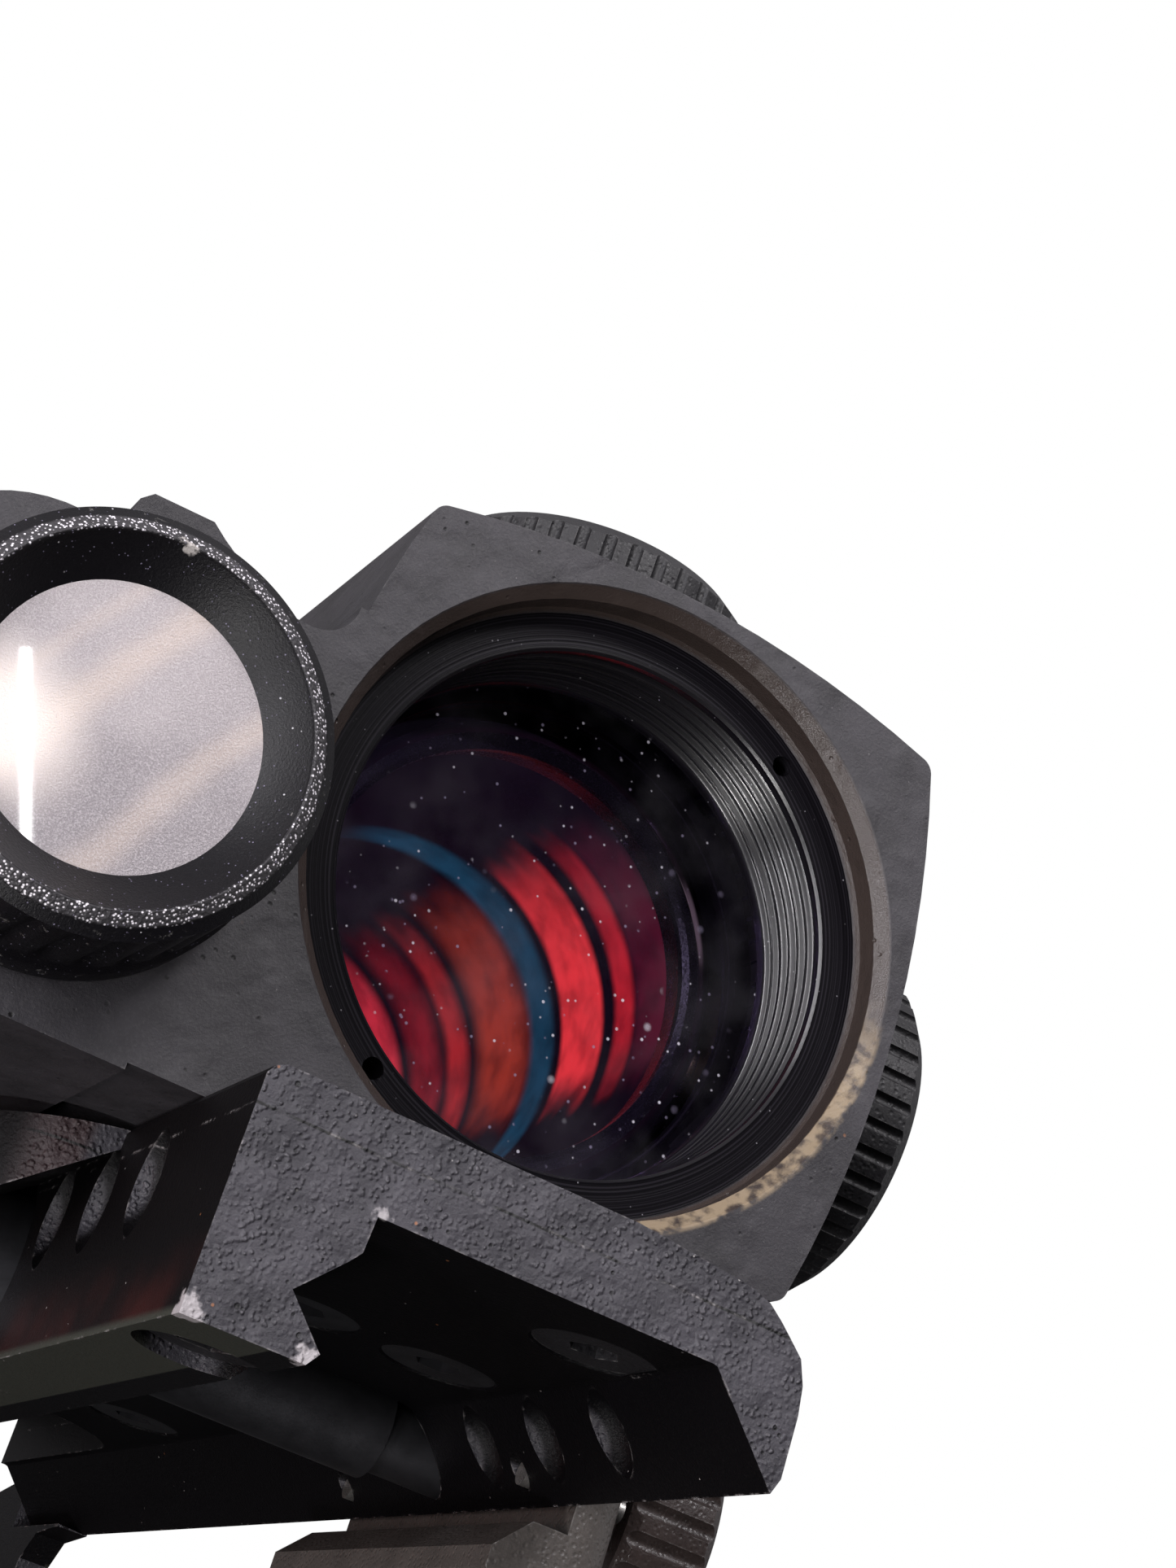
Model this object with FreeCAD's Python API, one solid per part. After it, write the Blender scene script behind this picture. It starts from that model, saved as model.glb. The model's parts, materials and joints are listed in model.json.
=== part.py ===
import FreeCAD, Part
# A compact tube finder scope (a unit-power dot finder) with a clamp for a 21 mm accessory rail.
# Frame, in millimetres: X to the right as seen by the eye, Y forward along the sight line, Z up.
# Origin: the top plane of the rail, on its centre line, at the eye end of the mount.
import math
import os

V = FreeCAD.Vector
Rotation = FreeCAD.Rotation
Placement = FreeCAD.Placement

# ---- driving dimensions: rail and mount ----
RAIL_HALF_WIDTH = 10.6      # widest half width of the rail's dovetail
RAIL_PLAY = 0.15
RAIL_WIDEST_Z = -2.8        # height of the widest point under the rail's top plane
CHANNEL_ROOF_Z = 1.0        # roof of the mount's channel
PLATE_BOTTOM_Z = 3.2        # joint between the mount base and the riser plate
MOUNT_TOP_Z = 5.0
MOUNT_BOTTOM_Z = -5.2
MOUNT_LENGTH = 102.0
WALL_X = -14.55             # outer face of the fixed left wall
WING_X = 11.05              # outer face of the right wing
NOTCH_HALF_WIDTH = 6.5
NOTCH_END_Y = 73.0
FLUTE_FIRST_Y = 11.0
FLUTE_PITCH_Y = 6.5
FLUTE_COUNT = 3
FLUTE_Z = 1.4
FLUTE_HALF_WIDTH = 1.7
FLUTE_HALF_HEIGHT = 2.55
SHELF_START_Y = 17.0
SHELF_END_Y = 66.0
SHELF_CORNER = 6.0
SHELF_OUTER_X = -21.0
SHELF_BOTTOM_Z = 0.3
SHELF_TOP_Z = 4.6

# ---- driving dimensions: housing and sight line ----
AXIS_Z = 20.6               # sight line above the rail's top plane
REAR_Y = 8.8                # eye-side face of the housing
FRONT_Y = 110.0
REAR_BLOCK_END_Y = 44.0
HOOD_START_Y = 84.0
SIDE_MID = 15.4             # axis to the middle of a bowed side
CORNER_HALF = 13.55         # axis to a corner, along X and along Z
MIDDLE_TUBE_R = 14.9
CAVITY_R = 12.4
MOUTH_R = 14.7              # outer edge of the mouth's chamfer
BORE_R = 14.1
RING_R = 13.9
RING_FACE_Y = REAR_Y + 2.1
WINDOW_Y = REAR_Y + 8.0
WINDOW_R = 12.7
TUBE_R = 11.2
TUBE_BORE_R = 10.2
TUBE_START_Y = 20.0
TUBE_END_Y = 92.0
PIVOT_Y = 81.0              # crossing of the two tilt axes

# ---- driving dimensions: turrets, battery tube and clamp ----
TURRET_Y = 24.8
NECK_R = 6.9
CAP_R = 8.8
CAP_START = 16.15           # distances along a turret are measured from the sight line
ELEVATION_CAP_END = 21.5
WINDAGE_CAP_END = 22.1
BATTERY_X = -24.3
BATTERY_Z = 15.3
BATTERY_TUBE_R = 10.6         # half height and half width of the battery tube
BATTERY_TUBE_CORNER = 7.0
BATTERY_BAY_R = 7.4
BATTERY_TUBE_END_Y = 82.0
DIAL_FRONT_Y = 0.9
DIAL_BACK_Y = REAR_Y - 0.2
DIAL_R = 8.7
BOLT_Y = 32.0
BOLT_Z = -0.4
JAW_START_Y = 18.5
JAW_END_Y = 45.5
NUT_START_X = 15.2
NUT_RIBS_X = 17.0              # the nut is a smooth collar up to here
NUT_END_X = 21.8
NUT_R = 8.0
RUNNING = 0.06              # radial clearance of the moving fits

# ---- windows and rings ----
WINDOW_THICK = 1.6
SEAL_THICK = 0.5
SEAT_Y = WINDOW_Y + WINDOW_THICK + SEAL_THICK
RING_INNER_R = 12.1
SPANNER_RADIUS = 13.0
FRONT_SEAT_Y = 98.0
FRONT_WINDOW_R = 13.1
FRONT_RING_Y = 101.0
RING_THICK = 2.5

# ---- inner tube: lens, emitter, wires and spring ----
STOP_SEAT_R = 10.7
PIVOT_PIN_R = 0.6
PIVOT_PIN_LENGTH = 1.9
INNER_PIN_START = 10.3      # from the sight line
OUTER_PIN_START = 11.4
LENS_SEAT_Y = 84.0
LED_ANGLE = 205.0
LED_Y = 30.0
LED_LENGTH = 6.0
WIRE_R = 0.2
CHANNEL_Y = 20.9
SPRING_ANGLE = 225.0

# ---- turret internals ----
NECK_START = 16.0
NECK_END = 18.6
NECK_BORE_R = 5.6
BUSHING_R = 5.5
PLUNGER_R = 1.9
PLUNGER_FLAT = 1.5
STEM_R = 2.0
SCREW_TIP_R = 0.9

# ---- dial, switch and battery ----
DISC_R = 5.95
DISC_Y = DIAL_FRONT_Y + 1.45
SHAFT_R = 2.5
DETENT_RADIUS = 5.6
BALL_R = 0.8
SWITCH_Y = 12.0
BOARD_Y = 17.2
BAY_START_Y = 10.8
HOLDER_Y = 22.0
CONTACT_Y = HOLDER_Y + 2.0
CELL_Y = CONTACT_Y + 1.0
CELL_LENGTH = 50.5
CELL_R = 7.1
BATTERY_THREAD_R = 8.05
BATTERY_THREAD_START_Y = BATTERY_TUBE_END_Y - 5.5
BATTERY_CAP_START_Y = BATTERY_TUBE_END_Y - 5.0
BATTERY_CAP_FLANGE_Y = BATTERY_TUBE_END_Y + 0.1
BATTERY_CAP_END_Y = BATTERY_TUBE_END_Y + 6.5
BATTERY_CAP_FLOOR_Y = BATTERY_TUBE_END_Y - 1.7
BATTERY_CAP_R = 8.7
BATTERY_SEAL_Y = BATTERY_CAP_FLANGE_Y - 0.9

# ---- clamp ----
BOLT_R = 2.4
BOLT_THREAD_R = 1.95
BOLT_HEAD_R = 4.7
PIN_R = 0.6
PIN_Z = -1.6
GUIDE_OFFSETS = (-10.6, 10.6)
SPRING_OFFSETS = (-6.6, 6.6)
JAW_INNER_X = 11.4
JAW_OUTER_X = 14.4
JAW_SPRING_BORE_R = 1.6

# ---- screws, as (x, y) places ----
SCREW_R = 1.5
HOUSING_SCREW_PLACES = [(-3.5, 20.0), (3.5, 20.0), (-3.5, 64.0), (3.5, 64.0)]
BASE_SCREW_PLACES = [(-11.35, 6.3), (-11.35, 85.7)]
PLATE_SCREW_PLACES = [(4.5, 6.3), (4.5, 44.0)]

# ---- places: the local Z axis of each one is the named line ----
ALONG_Y = Rotation(V(1, 0, 0), -90)
ALONG_X = Rotation(V(0, 1, 0), 90)
OPTIC = Placement(V(0, 0, AXIS_Z), ALONG_Y)
BATTERY = Placement(V(BATTERY_X, 0, BATTERY_Z), ALONG_Y)
ELEVATION = Placement(V(0, TURRET_Y, AXIS_Z), Rotation())
WINDAGE = Placement(V(0, TURRET_Y, AXIS_Z), ALONG_X)
CLAMP = Placement(V(0, BOLT_Y, BOLT_Z), ALONG_X)


def placed(shape, place):
    """Move a shape from its local frame to the scope's frame."""
    return shape.transformed(place.toMatrix())


def turned(profile, place=Placement()):
    """Solid of revolution from (radius, height) points about the place's Z axis."""
    points = [V(radius, 0, height) for radius, height in profile]
    face = Part.Face(Part.makePolygon(points + points[:1]))
    return placed(face.revolve(V(0, 0, 0), V(0, 0, 1), 360), place)


def disc(radius, start, end, place=Placement(), x=0.0, y=0.0):
    """Cylinder between two heights of a place."""
    return placed(Part.makeCylinder(radius, end - start, V(x, y, start)), place)


def ring(outer, inner, start, end, place=Placement()):
    """Flat ring between two heights of a place."""
    return disc(outer, start, end, place).cut(disc(inner, start - 1, end + 1, place))


def block(x0, x1, y0, y1, z0, z1):
    return Part.makeBox(x1 - x0, y1 - y0, z1 - z0, V(x0, y0, z0))


def prism(outline, y0, y1):
    """Extrude an outline of (x, z) points along Y."""
    points = [V(x, y0, z) for x, z in outline]
    return Part.Face(Part.makePolygon(points + points[:1])).extrude(V(0, y1 - y0, 0))


def fused(shapes):
    result = shapes[0].fuse(shapes[1:]) if len(shapes) > 1 else shapes[0]
    return result.removeSplitter()


def group(shapes):
    """Several separate solids that are one node."""
    return Part.makeCompound(shapes)


def grooved(body, count, groove_r, radius, start, end, place, lean=0.0):
    """Cut evenly spaced grooves round a turned body; lean tilts each one from the axis, in degrees."""
    cutters = []
    for index in range(count):
        groove = Part.makeCylinder(groove_r, end - start, V(0, 0, (start - end) / 2))
        groove.rotate(V(0, 0, 0), V(1, 0, 0), lean)
        groove.translate(V(radius, 0, (start + end) / 2))
        groove.rotate(V(0, 0, 0), V(0, 0, 1), index * 360.0 / count)
        cutters.append(placed(groove, place))
    return body.cut(cutters)


def coil(radius, wire_r, start, end, turns, place):
    """Helical spring with its axis on the place's Z axis."""
    height = end - start - 2 * wire_r
    helix = Part.makeHelix(height / turns, height, radius)
    section = Part.Wire(Part.makeCircle(wire_r, V(radius, 0, 0), V(0, 1, 0)))
    body = Part.Wire(helix).makePipeShell([section], True, True)
    body.translate(V(0, 0, start + wire_r))
    return placed(body, place)


# ---- housing ----
def bowed_square(y0, y1):
    """Square body whose four sides bow outwards."""
    corner = CORNER_HALF
    top = AXIS_Z + corner
    bottom = AXIS_Z - corner
    arcs = [
        Part.Arc(V(-corner, y0, top), V(0, y0, AXIS_Z + SIDE_MID), V(corner, y0, top)),
        Part.Arc(V(corner, y0, top), V(SIDE_MID, y0, AXIS_Z), V(corner, y0, bottom)),
        Part.Arc(V(corner, y0, bottom), V(0, y0, AXIS_Z - SIDE_MID), V(-corner, y0, bottom)),
        Part.Arc(V(-corner, y0, bottom), V(-SIDE_MID, y0, AXIS_Z), V(-corner, y0, top)),
    ]
    wire = Part.Wire([arc.toShape() for arc in arcs])
    body = Part.Face(wire).extrude(V(0, y1 - y0, 0))
    long_edges = [e for e in body.Edges if abs(e.BoundBox.YLength - (y1 - y0)) < 0.01]
    return body.makeFillet(0.8, long_edges)


def battery_tube():
    """Battery tube with rounded outer corners, and the flat web that joins it to the main body."""
    step_x = -17.6
    inner_x = -8.0
    web_top = BATTERY_Z + BATTERY_TUBE_R
    fillet_r = 1.9
    outer_web = block(BATTERY_X, step_x, REAR_Y, BATTERY_TUBE_END_Y, BATTERY_Z - BATTERY_TUBE_R, web_top)
    inner_web = block(step_x, inner_x, REAR_Y, BATTERY_TUBE_END_Y, MOUNT_TOP_Z, web_top)
    corner = V(-SIDE_MID + 0.5, REAR_Y, web_top - 0.2)
    start = V(-SIDE_MID - fillet_r + 0.2, REAR_Y, web_top)
    end = V(-SIDE_MID + 0.15, REAR_Y, web_top + fillet_r)
    middle = V(-SIDE_MID - 0.35, REAR_Y, web_top + 0.55)
    edges = [
        Part.makeLine(V(start.x, REAR_Y, corner.z), start),
        Part.Arc(start, middle, end).toShape(),
        Part.makeLine(end, V(corner.x, REAR_Y, end.z)),
        Part.makeLine(V(corner.x, REAR_Y, end.z), corner),
        Part.makeLine(corner, V(start.x, REAR_Y, corner.z)),
    ]
    fillet = Part.Face(Part.Wire(edges)).extrude(V(0, REAR_BLOCK_END_Y - REAR_Y, 0))
    outer_side = block(BATTERY_X - BATTERY_TUBE_R, BATTERY_X, REAR_Y, BATTERY_TUBE_END_Y,
                       BATTERY_Z - BATTERY_TUBE_R, web_top)
    corners = [e for e in outer_side.Edges if e.BoundBox.XMax < BATTERY_X - 1
               and abs(e.BoundBox.YLength - (BATTERY_TUBE_END_Y - REAR_Y)) < 0.01]
    outer_side = outer_side.makeFillet(BATTERY_TUBE_CORNER, corners)
    return [outer_side, outer_web, inner_web, fillet]


def index_lug():
    """Raised pointer on the battery tube, beside the dial."""
    outline = [(-26.2, 25.4), (-25.9, 27.6), (-25.4, 28.1), (-22.6, 28.2), (-21.9, 27.7), (-20.4, 26.8),
               (-19.9, 25.4)]
    return prism(outline, REAR_Y, REAR_Y + 4.0)


def main_bore():
    """Everything that is hollow along the sight line."""
    profile = [
        (0, REAR_Y - 1), (MOUTH_R + 1, REAR_Y - 1), (MOUTH_R, REAR_Y), (BORE_R, REAR_Y + 0.6),
        (BORE_R, RING_FACE_Y - 0.3), (RING_R, RING_FACE_Y), (RING_R, WINDOW_Y),
        (WINDOW_R, WINDOW_Y), (WINDOW_R, SEAT_Y), (WINDOW_R - 1, SEAT_Y),
        (WINDOW_R - 1, SEAT_Y + 0.6), (CAVITY_R, SEAT_Y + 0.6), (CAVITY_R, FRONT_SEAT_Y),
        (FRONT_WINDOW_R, FRONT_SEAT_Y), (FRONT_WINDOW_R, FRONT_RING_Y), (RING_R, FRONT_RING_Y),
        (RING_R, FRONT_RING_Y + RING_THICK), (BORE_R, FRONT_RING_Y + RING_THICK),
        (BORE_R, FRONT_Y - 0.6), (MOUTH_R, FRONT_Y), (MOUTH_R + 1, FRONT_Y + 1), (0, FRONT_Y + 1),
    ]
    return turned(profile, OPTIC)


def housing():
    foot = block(-9.0, 9.0, REAR_Y + 2.2, 86.0, MOUNT_TOP_Z, MOUNT_TOP_Z + 3.4)
    solids = [bowed_square(REAR_Y, REAR_BLOCK_END_Y), bowed_square(HOOD_START_Y, FRONT_Y), foot]
    solids.append(disc(MIDDLE_TUBE_R, REAR_BLOCK_END_Y - 1, HOOD_START_Y + 1, OPTIC))
    solids += battery_tube()
    solids.append(index_lug())
    for turret in (ELEVATION, WINDAGE):
        solids.append(disc(CAP_R - 0.6, CAVITY_R + 0.6, NECK_START, turret))
        solids.append(disc(NECK_R, NECK_START - 0.5, NECK_END, turret))
    body = fused(solids)
    cuts = [main_bore()]
    for turret in (ELEVATION, WINDAGE):
        cuts.append(disc(BUSHING_R, CAVITY_R - 2, NECK_END + 1, turret))
        cuts.append(disc(NECK_BORE_R, NECK_START + 0.2, NECK_END + 1, turret))
    cuts.append(disc(SHAFT_R + RUNNING, REAR_Y - 1, BAY_START_Y + 1, BATTERY))
    cuts.append(disc(SHAFT_R + 1.3, REAR_Y - 1, REAR_Y + 1.2, BATTERY))
    cuts.append(disc(BATTERY_BAY_R, BAY_START_Y, BATTERY_TUBE_END_Y + 1, BATTERY))
    cuts.append(disc(BATTERY_THREAD_R, BATTERY_THREAD_START_Y, BATTERY_TUBE_END_Y + 1, BATTERY))
    cuts.append(detent_pocket())
    cuts.append(wire_channel())
    pin_end = OUTER_PIN_START + PIVOT_PIN_LENGTH
    cuts += cross_pins(PIVOT_PIN_R + RUNNING, CAVITY_R - 1, pin_end + 0.1, ALONG_X)
    for x, y in HOUSING_SCREW_PLACES:
        cuts.append(Part.makeCylinder(SCREW_R, 2.6, V(x, y, MOUNT_TOP_Z - 0.01)))
    return body.cut(cuts)


def detent_pocket():
    """Blind hole for the ball and spring that give the dial its clicks."""
    return disc(BALL_R + RUNNING, REAR_Y - 1, REAR_Y + 1.6, BATTERY, y=DETENT_RADIUS)


def wire_channel():
    return Part.makeCylinder(1.0, 8.0, V(-18.0, CHANNEL_Y, BATTERY_Z), V(1, 0, 0))


# ---- mount ----


def plate_outline():
    """Riser plate section: flat top with a small bevel on the left and a roll-off on the right."""
    roll_off = [(2.0, MOUNT_TOP_Z), (5.0, 4.75), (7.5, 4.5), (8.5, 4.2), (9.2, 3.7), (9.8, PLATE_BOTTOM_Z)]
    bevel = [(WALL_X, 4.4), (WALL_X + 0.25, 4.8), (WALL_X + 0.7, MOUNT_TOP_Z)]
    return [(WALL_X, PLATE_BOTTOM_Z)] + bevel + roll_off


def base_outline():
    """Mount base section: fixed claw on the left, sloping wing on the right."""
    widest = RAIL_HALF_WIDTH + RAIL_PLAY
    right_side = [(9.8, PLATE_BOTTOM_Z), (10.5, 2.6), (10.9, 1.6), (WING_X, 0.4), (WING_X, -2.2)]
    wing_tip = [(widest, RAIL_WIDEST_Z - 0.1), (7.0, 0.95), (6.8, CHANNEL_ROOF_Z)]
    claw = [(-8.5, CHANNEL_ROOF_Z), (-8.6, -0.5), (-9.0, -1.0), (-widest, RAIL_WIDEST_Z),
            (-8.9, -4.65), (-9.3, MOUNT_BOTTOM_Z), (WALL_X, MOUNT_BOTTOM_Z)]
    return [(WALL_X, PLATE_BOTTOM_Z)] + right_side + wing_tip + claw


def notch(z0, z1):
    """Open-ended slot at the far end of the mount."""
    round_y = NOTCH_END_Y + NOTCH_HALF_WIDTH
    slot = block(-NOTCH_HALF_WIDTH, NOTCH_HALF_WIDTH, round_y, MOUNT_LENGTH + 1, z0, z1)
    return slot.fuse(Part.makeCylinder(NOTCH_HALF_WIDTH, z1 - z0, V(0, round_y, z0)))


def flute(x, y, z, half_width, half_height, lean=0.0):
    """Leaf-shaped hollow: a spindle beside a wall, upright or leaning about Y."""
    side = Part.Arc(V(0, 0, -half_height), V(half_width, 0, 0), V(0, 0, half_height)).toShape()
    chord = Part.makeLine(V(0, 0, half_height), V(0, 0, -half_height))
    spindle = Part.Face(Part.Wire([side, chord])).revolve(V(0, 0, 0), V(0, 0, 1), 360)
    spindle.rotate(V(0, 0, 0), V(0, 1, 0), lean)
    spindle.translate(V(x, y, z))
    return spindle


def outer_flutes():
    """Two groups of three flutes in the left wall, one near each end of the mount."""
    flutes = []
    for index in range(FLUTE_COUNT):
        near_y = FLUTE_FIRST_Y + index * FLUTE_PITCH_Y
        for y in (near_y, MOUNT_LENGTH - near_y):
            flutes.append(flute(WALL_X - 0.25, y, FLUTE_Z, FLUTE_HALF_WIDTH, FLUTE_HALF_HEIGHT))
    return flutes


def saddle_shelf():
    """Shelf on the left wall under the battery tube: rounded in plan, thin at the wall, deep at its edge."""
    root_x = WALL_X + 0.5
    outer_x = SHELF_OUTER_X
    corner = SHELF_CORNER
    inset = corner * (1 - math.cos(math.radians(45)))
    near_mid = V(outer_x + inset, SHELF_START_Y + inset, SHELF_BOTTOM_Z)
    far_mid = V(outer_x + inset, SHELF_END_Y - inset, SHELF_BOTTOM_Z)
    plan = [(root_x, SHELF_START_Y), (outer_x + corner, SHELF_START_Y), (outer_x, SHELF_START_Y + corner),
            (outer_x, SHELF_END_Y - corner), (outer_x + corner, SHELF_END_Y), (root_x, SHELF_END_Y)]
    points = [V(x, y, SHELF_BOTTOM_Z) for x, y in plan]
    edges = [
        Part.makeLine(points[0], points[1]),
        Part.Arc(points[1], near_mid, points[2]).toShape(),
        Part.makeLine(points[2], points[3]),
        Part.Arc(points[3], far_mid, points[4]).toShape(),
        Part.makeLine(points[4], points[5]),
        Part.makeLine(points[5], points[0]),
    ]
    shelf = Part.Face(Part.Wire(edges)).extrude(V(0, 0, SHELF_TOP_Z - SHELF_BOTTOM_Z))
    hollow = [(root_x + 1, SHELF_BOTTOM_Z - 1), (root_x + 1, 3.7), (WALL_X, 3.7), (-18.9, SHELF_BOTTOM_Z),
              (-18.9, SHELF_BOTTOM_Z - 1)]
    fall = [(WALL_X, SHELF_TOP_Z), (outer_x - 1, 3.3), (outer_x - 1, SHELF_TOP_Z + 1),
            (WALL_X, SHELF_TOP_Z + 1)]
    return shelf.cut([prism(outline, SHELF_START_Y - 2, SHELF_END_Y + 2) for outline in (hollow, fall)])


def stop_lug():
    """Rounded lug at the far end of the right wing, beyond the rail."""
    outline = [(91.0, -2.9), (95.5, -3.3), (97.3, -5.0), (97.8, -9.0), (99.5, -10.6), (112.0, -10.6),
               (114.0, -8.8), (114.0, -1.6), (111.5, -0.4), (105.0, 0.6), (101.9, 2.6), (91.0, 2.6)]
    points = [V(8.9, y, z) for y, z in outline]
    lug = Part.Face(Part.makePolygon(points + points[:1])).extrude(V(WING_X - 8.9, 0, 0))
    under_slope = [V(8.9 - 0.1, 90, -2.75), V(10.7, 90, -2.9 + 0.05), V(8.8, 90, -0.9)]
    slope = Part.Face(Part.makePolygon(under_slope + under_slope[:1])).extrude(V(0, 12.0, 0))
    return lug.cut(slope)


def mount_base():
    flutes = outer_flutes()
    for index in range(FLUTE_COUNT):
        y = FLUTE_FIRST_Y + index * FLUTE_PITCH_Y
        flutes.append(flute(8.3, y + 0.2, -0.9, 1.4, 2.3, lean=-44.0))
    fluted = prism(base_outline(), 0, MOUNT_LENGTH).cut(flutes)
    body = fluted.fuse(stop_lug())
    cuts = [notch(CHANNEL_ROOF_Z - 3, PLATE_BOTTOM_Z + 1)]
    for x, y in BASE_SCREW_PLACES:
        cuts.append(Part.makeCylinder(SCREW_R, 12.0, V(x, y, -7.0)))
        cuts.append(Part.makeCylinder(2.8, 2.4 + 1, V(x, y, MOUNT_BOTTOM_Z - 1)))
    for x, y in HOUSING_SCREW_PLACES + PLATE_SCREW_PLACES:
        cuts.append(Part.makeCylinder(SCREW_R, 6.0, V(x, y, 0.0)))
        cuts.append(Part.makeCone(2.8, SCREW_R, 1.3, V(x, y, CHANNEL_ROOF_Z)))
    cuts.append(disc(BOLT_R, WALL_X - 1, 6.0, CLAMP))
    cuts.append(disc(BOLT_HEAD_R + 0.3, WALL_X - 8, WALL_X, CLAMP))
    cuts.append(disc(BOLT_THREAD_R, 5.0, 13.0, CLAMP))
    for offset in GUIDE_OFFSETS:
        cuts.append(Part.makeCylinder(PIN_R + RUNNING, 4.5, V(8.0, BOLT_Y + offset, PIN_Z), V(1, 0, 0)))
    return body.cut(cuts)


def riser_plate():
    body = prism(plate_outline(), 0, MOUNT_LENGTH).cut(outer_flutes()).fuse(saddle_shelf())
    cuts = [notch(PLATE_BOTTOM_Z - 1, MOUNT_TOP_Z + 1)]
    for x, y in HOUSING_SCREW_PLACES:
        cuts.append(Part.makeCylinder(SCREW_R, 4.0, V(x, y, PLATE_BOTTOM_Z - 1)))
    for x, y in BASE_SCREW_PLACES + PLATE_SCREW_PLACES:
        cuts.append(Part.makeCylinder(SCREW_R, 1.4 + 1, V(x, y, PLATE_BOTTOM_Z - 1)))
    cuts.append(disc(BOLT_HEAD_R + 0.3, WALL_X - 8, WALL_X, CLAMP))
    return body.cut(cuts)


def socket(place_z, x, y, depth, across):
    """Hexagonal key socket that opens downwards."""
    radius = across / math.sqrt(3)
    corners = [V(x + radius * math.cos(math.radians(a)), y + radius * math.sin(math.radians(a)), place_z)
               for a in range(0, 361, 60)]
    return Part.Face(Part.makePolygon(corners)).extrude(V(0, 0, depth))


def base_screws():
    """Two socket-head screws in the claw wall and two flat-head screws in the channel roof."""
    screws = []
    head_z = MOUNT_BOTTOM_Z + 0.6
    for x, y in BASE_SCREW_PLACES:
        head = Part.makeCylinder(2.7, 1.8, V(x, y, head_z))
        shank = Part.makeCylinder(SCREW_R, PLATE_BOTTOM_Z + 1.2 - head_z, V(x, y, head_z))
        screws.append(head.fuse(shank).removeSplitter().cut(socket(head_z, x, y, 1.1, 2.5)))
    for x, y in PLATE_SCREW_PLACES:
        screws.append(flat_head_screw(x, y, PLATE_BOTTOM_Z + 1.2))
    return group(screws)


def flat_head_screw(x, y, top_z):
    head = Part.makeCone(2.7, SCREW_R, 1.2, V(x, y, CHANNEL_ROOF_Z + 0.1))
    shank = Part.makeCylinder(SCREW_R, top_z - CHANNEL_ROOF_Z - 0.1, V(x, y, CHANNEL_ROOF_Z + 0.1))
    return head.fuse(shank).removeSplitter().cut(socket(CHANNEL_ROOF_Z + 0.1, x, y, 0.8, 2.0))


def housing_screws():
    return group([flat_head_screw(x, y, MOUNT_TOP_Z + 2.2) for x, y in HOUSING_SCREW_PLACES])


# ---- clamp ----


def cross_bolt():
    """Bolt through the mount; its thick part sits in a cross slot of the rail."""
    head_start = WALL_X - 2.6
    profile = [(0, head_start), (BOLT_HEAD_R - 0.5, head_start), (BOLT_HEAD_R, head_start + 0.5),
               (BOLT_HEAD_R, WALL_X),
               (BOLT_R, WALL_X), (BOLT_R, 6.0), (BOLT_THREAD_R, 6.0),
               (BOLT_THREAD_R, NUT_END_X - 1.2), (0, NUT_END_X - 1.2)]
    bolt = turned(profile, CLAMP)
    slot = block(head_start - 1, head_start + 1.2, BOLT_Y - 5, BOLT_Y + 5, BOLT_Z - 0.5, BOLT_Z + 0.5)
    return bolt.cut(slot)


def clamp_jaw():
    outline = [(JAW_INNER_X, 3.0), (JAW_INNER_X, -4.0), (9.6, -4.0), (8.0, -5.6), (8.0, -6.6),
               (9.2, -7.6), (13.2, -7.6), (JAW_OUTER_X, -6.4), (JAW_OUTER_X, 1.8), (13.3, 3.0)]
    body = prism(outline, JAW_START_Y, JAW_END_Y)
    hook_corners = [e for e in body.Edges
                    if e.BoundBox.YLength < 0.01 and e.BoundBox.XLength < 0.01
                    and e.BoundBox.XMin > 14.0]
    body = body.makeFillet(2.5, hook_corners)
    cuts = [disc(BOLT_THREAD_R + RUNNING, 10.0, 16.0, CLAMP)]
    for offset in GUIDE_OFFSETS:
        cuts.append(Part.makeCylinder(PIN_R, 6.0, V(10.0, BOLT_Y + offset, PIN_Z), V(1, 0, 0)))
    for offset in SPRING_OFFSETS:
        cuts.append(Part.makeCylinder(JAW_SPRING_BORE_R, 3.2, V(10.4, BOLT_Y + offset, BOLT_Z), V(1, 0, 0)))
    return body.cut(cuts)


def jaw_guide_pins():
    return group([Part.makeCylinder(PIN_R, 5.3, V(9.6, BOLT_Y + offset, PIN_Z), V(1, 0, 0))
                  for offset in GUIDE_OFFSETS])


def jaw_springs():
    springs = []
    for offset in SPRING_OFFSETS:
        place = Placement(V(0, BOLT_Y + offset, BOLT_Z), ALONG_X)
        springs.append(coil(1.2, 0.2, WING_X + 0.05, JAW_INNER_X + 2.15, 3.5, place))
    return group(springs)


def nut_washer():
    return ring(5.0, BOLT_THREAD_R + RUNNING, JAW_OUTER_X + 0.05, NUT_START_X - 0.05, CLAMP)


def thumb_nut():
    profile = [(BOLT_THREAD_R + 0.04, NUT_START_X), (5.6, NUT_START_X), (6.4, NUT_START_X + 0.8),
               (6.4, NUT_RIBS_X), (NUT_R - 0.5, NUT_RIBS_X), (NUT_R, NUT_RIBS_X + 0.5),
               (NUT_R, NUT_END_X - 0.6),
               (NUT_R - 0.6, NUT_END_X), (0, NUT_END_X), (0, NUT_END_X - 1.1),
               (BOLT_THREAD_R + 0.04, NUT_END_X - 1.1)]
    nut = grooved(turned(profile, CLAMP), 32, 0.45, NUT_R + 0.1, NUT_START_X - 1, NUT_END_X + 1, CLAMP)
    slot = block(NUT_END_X - 0.7, NUT_END_X + 1, BOLT_Y - 5.5, BOLT_Y + 5.5, BOLT_Z - 0.8, BOLT_Z + 0.8)
    return nut.cut(slot)


# ---- optics ----


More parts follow.
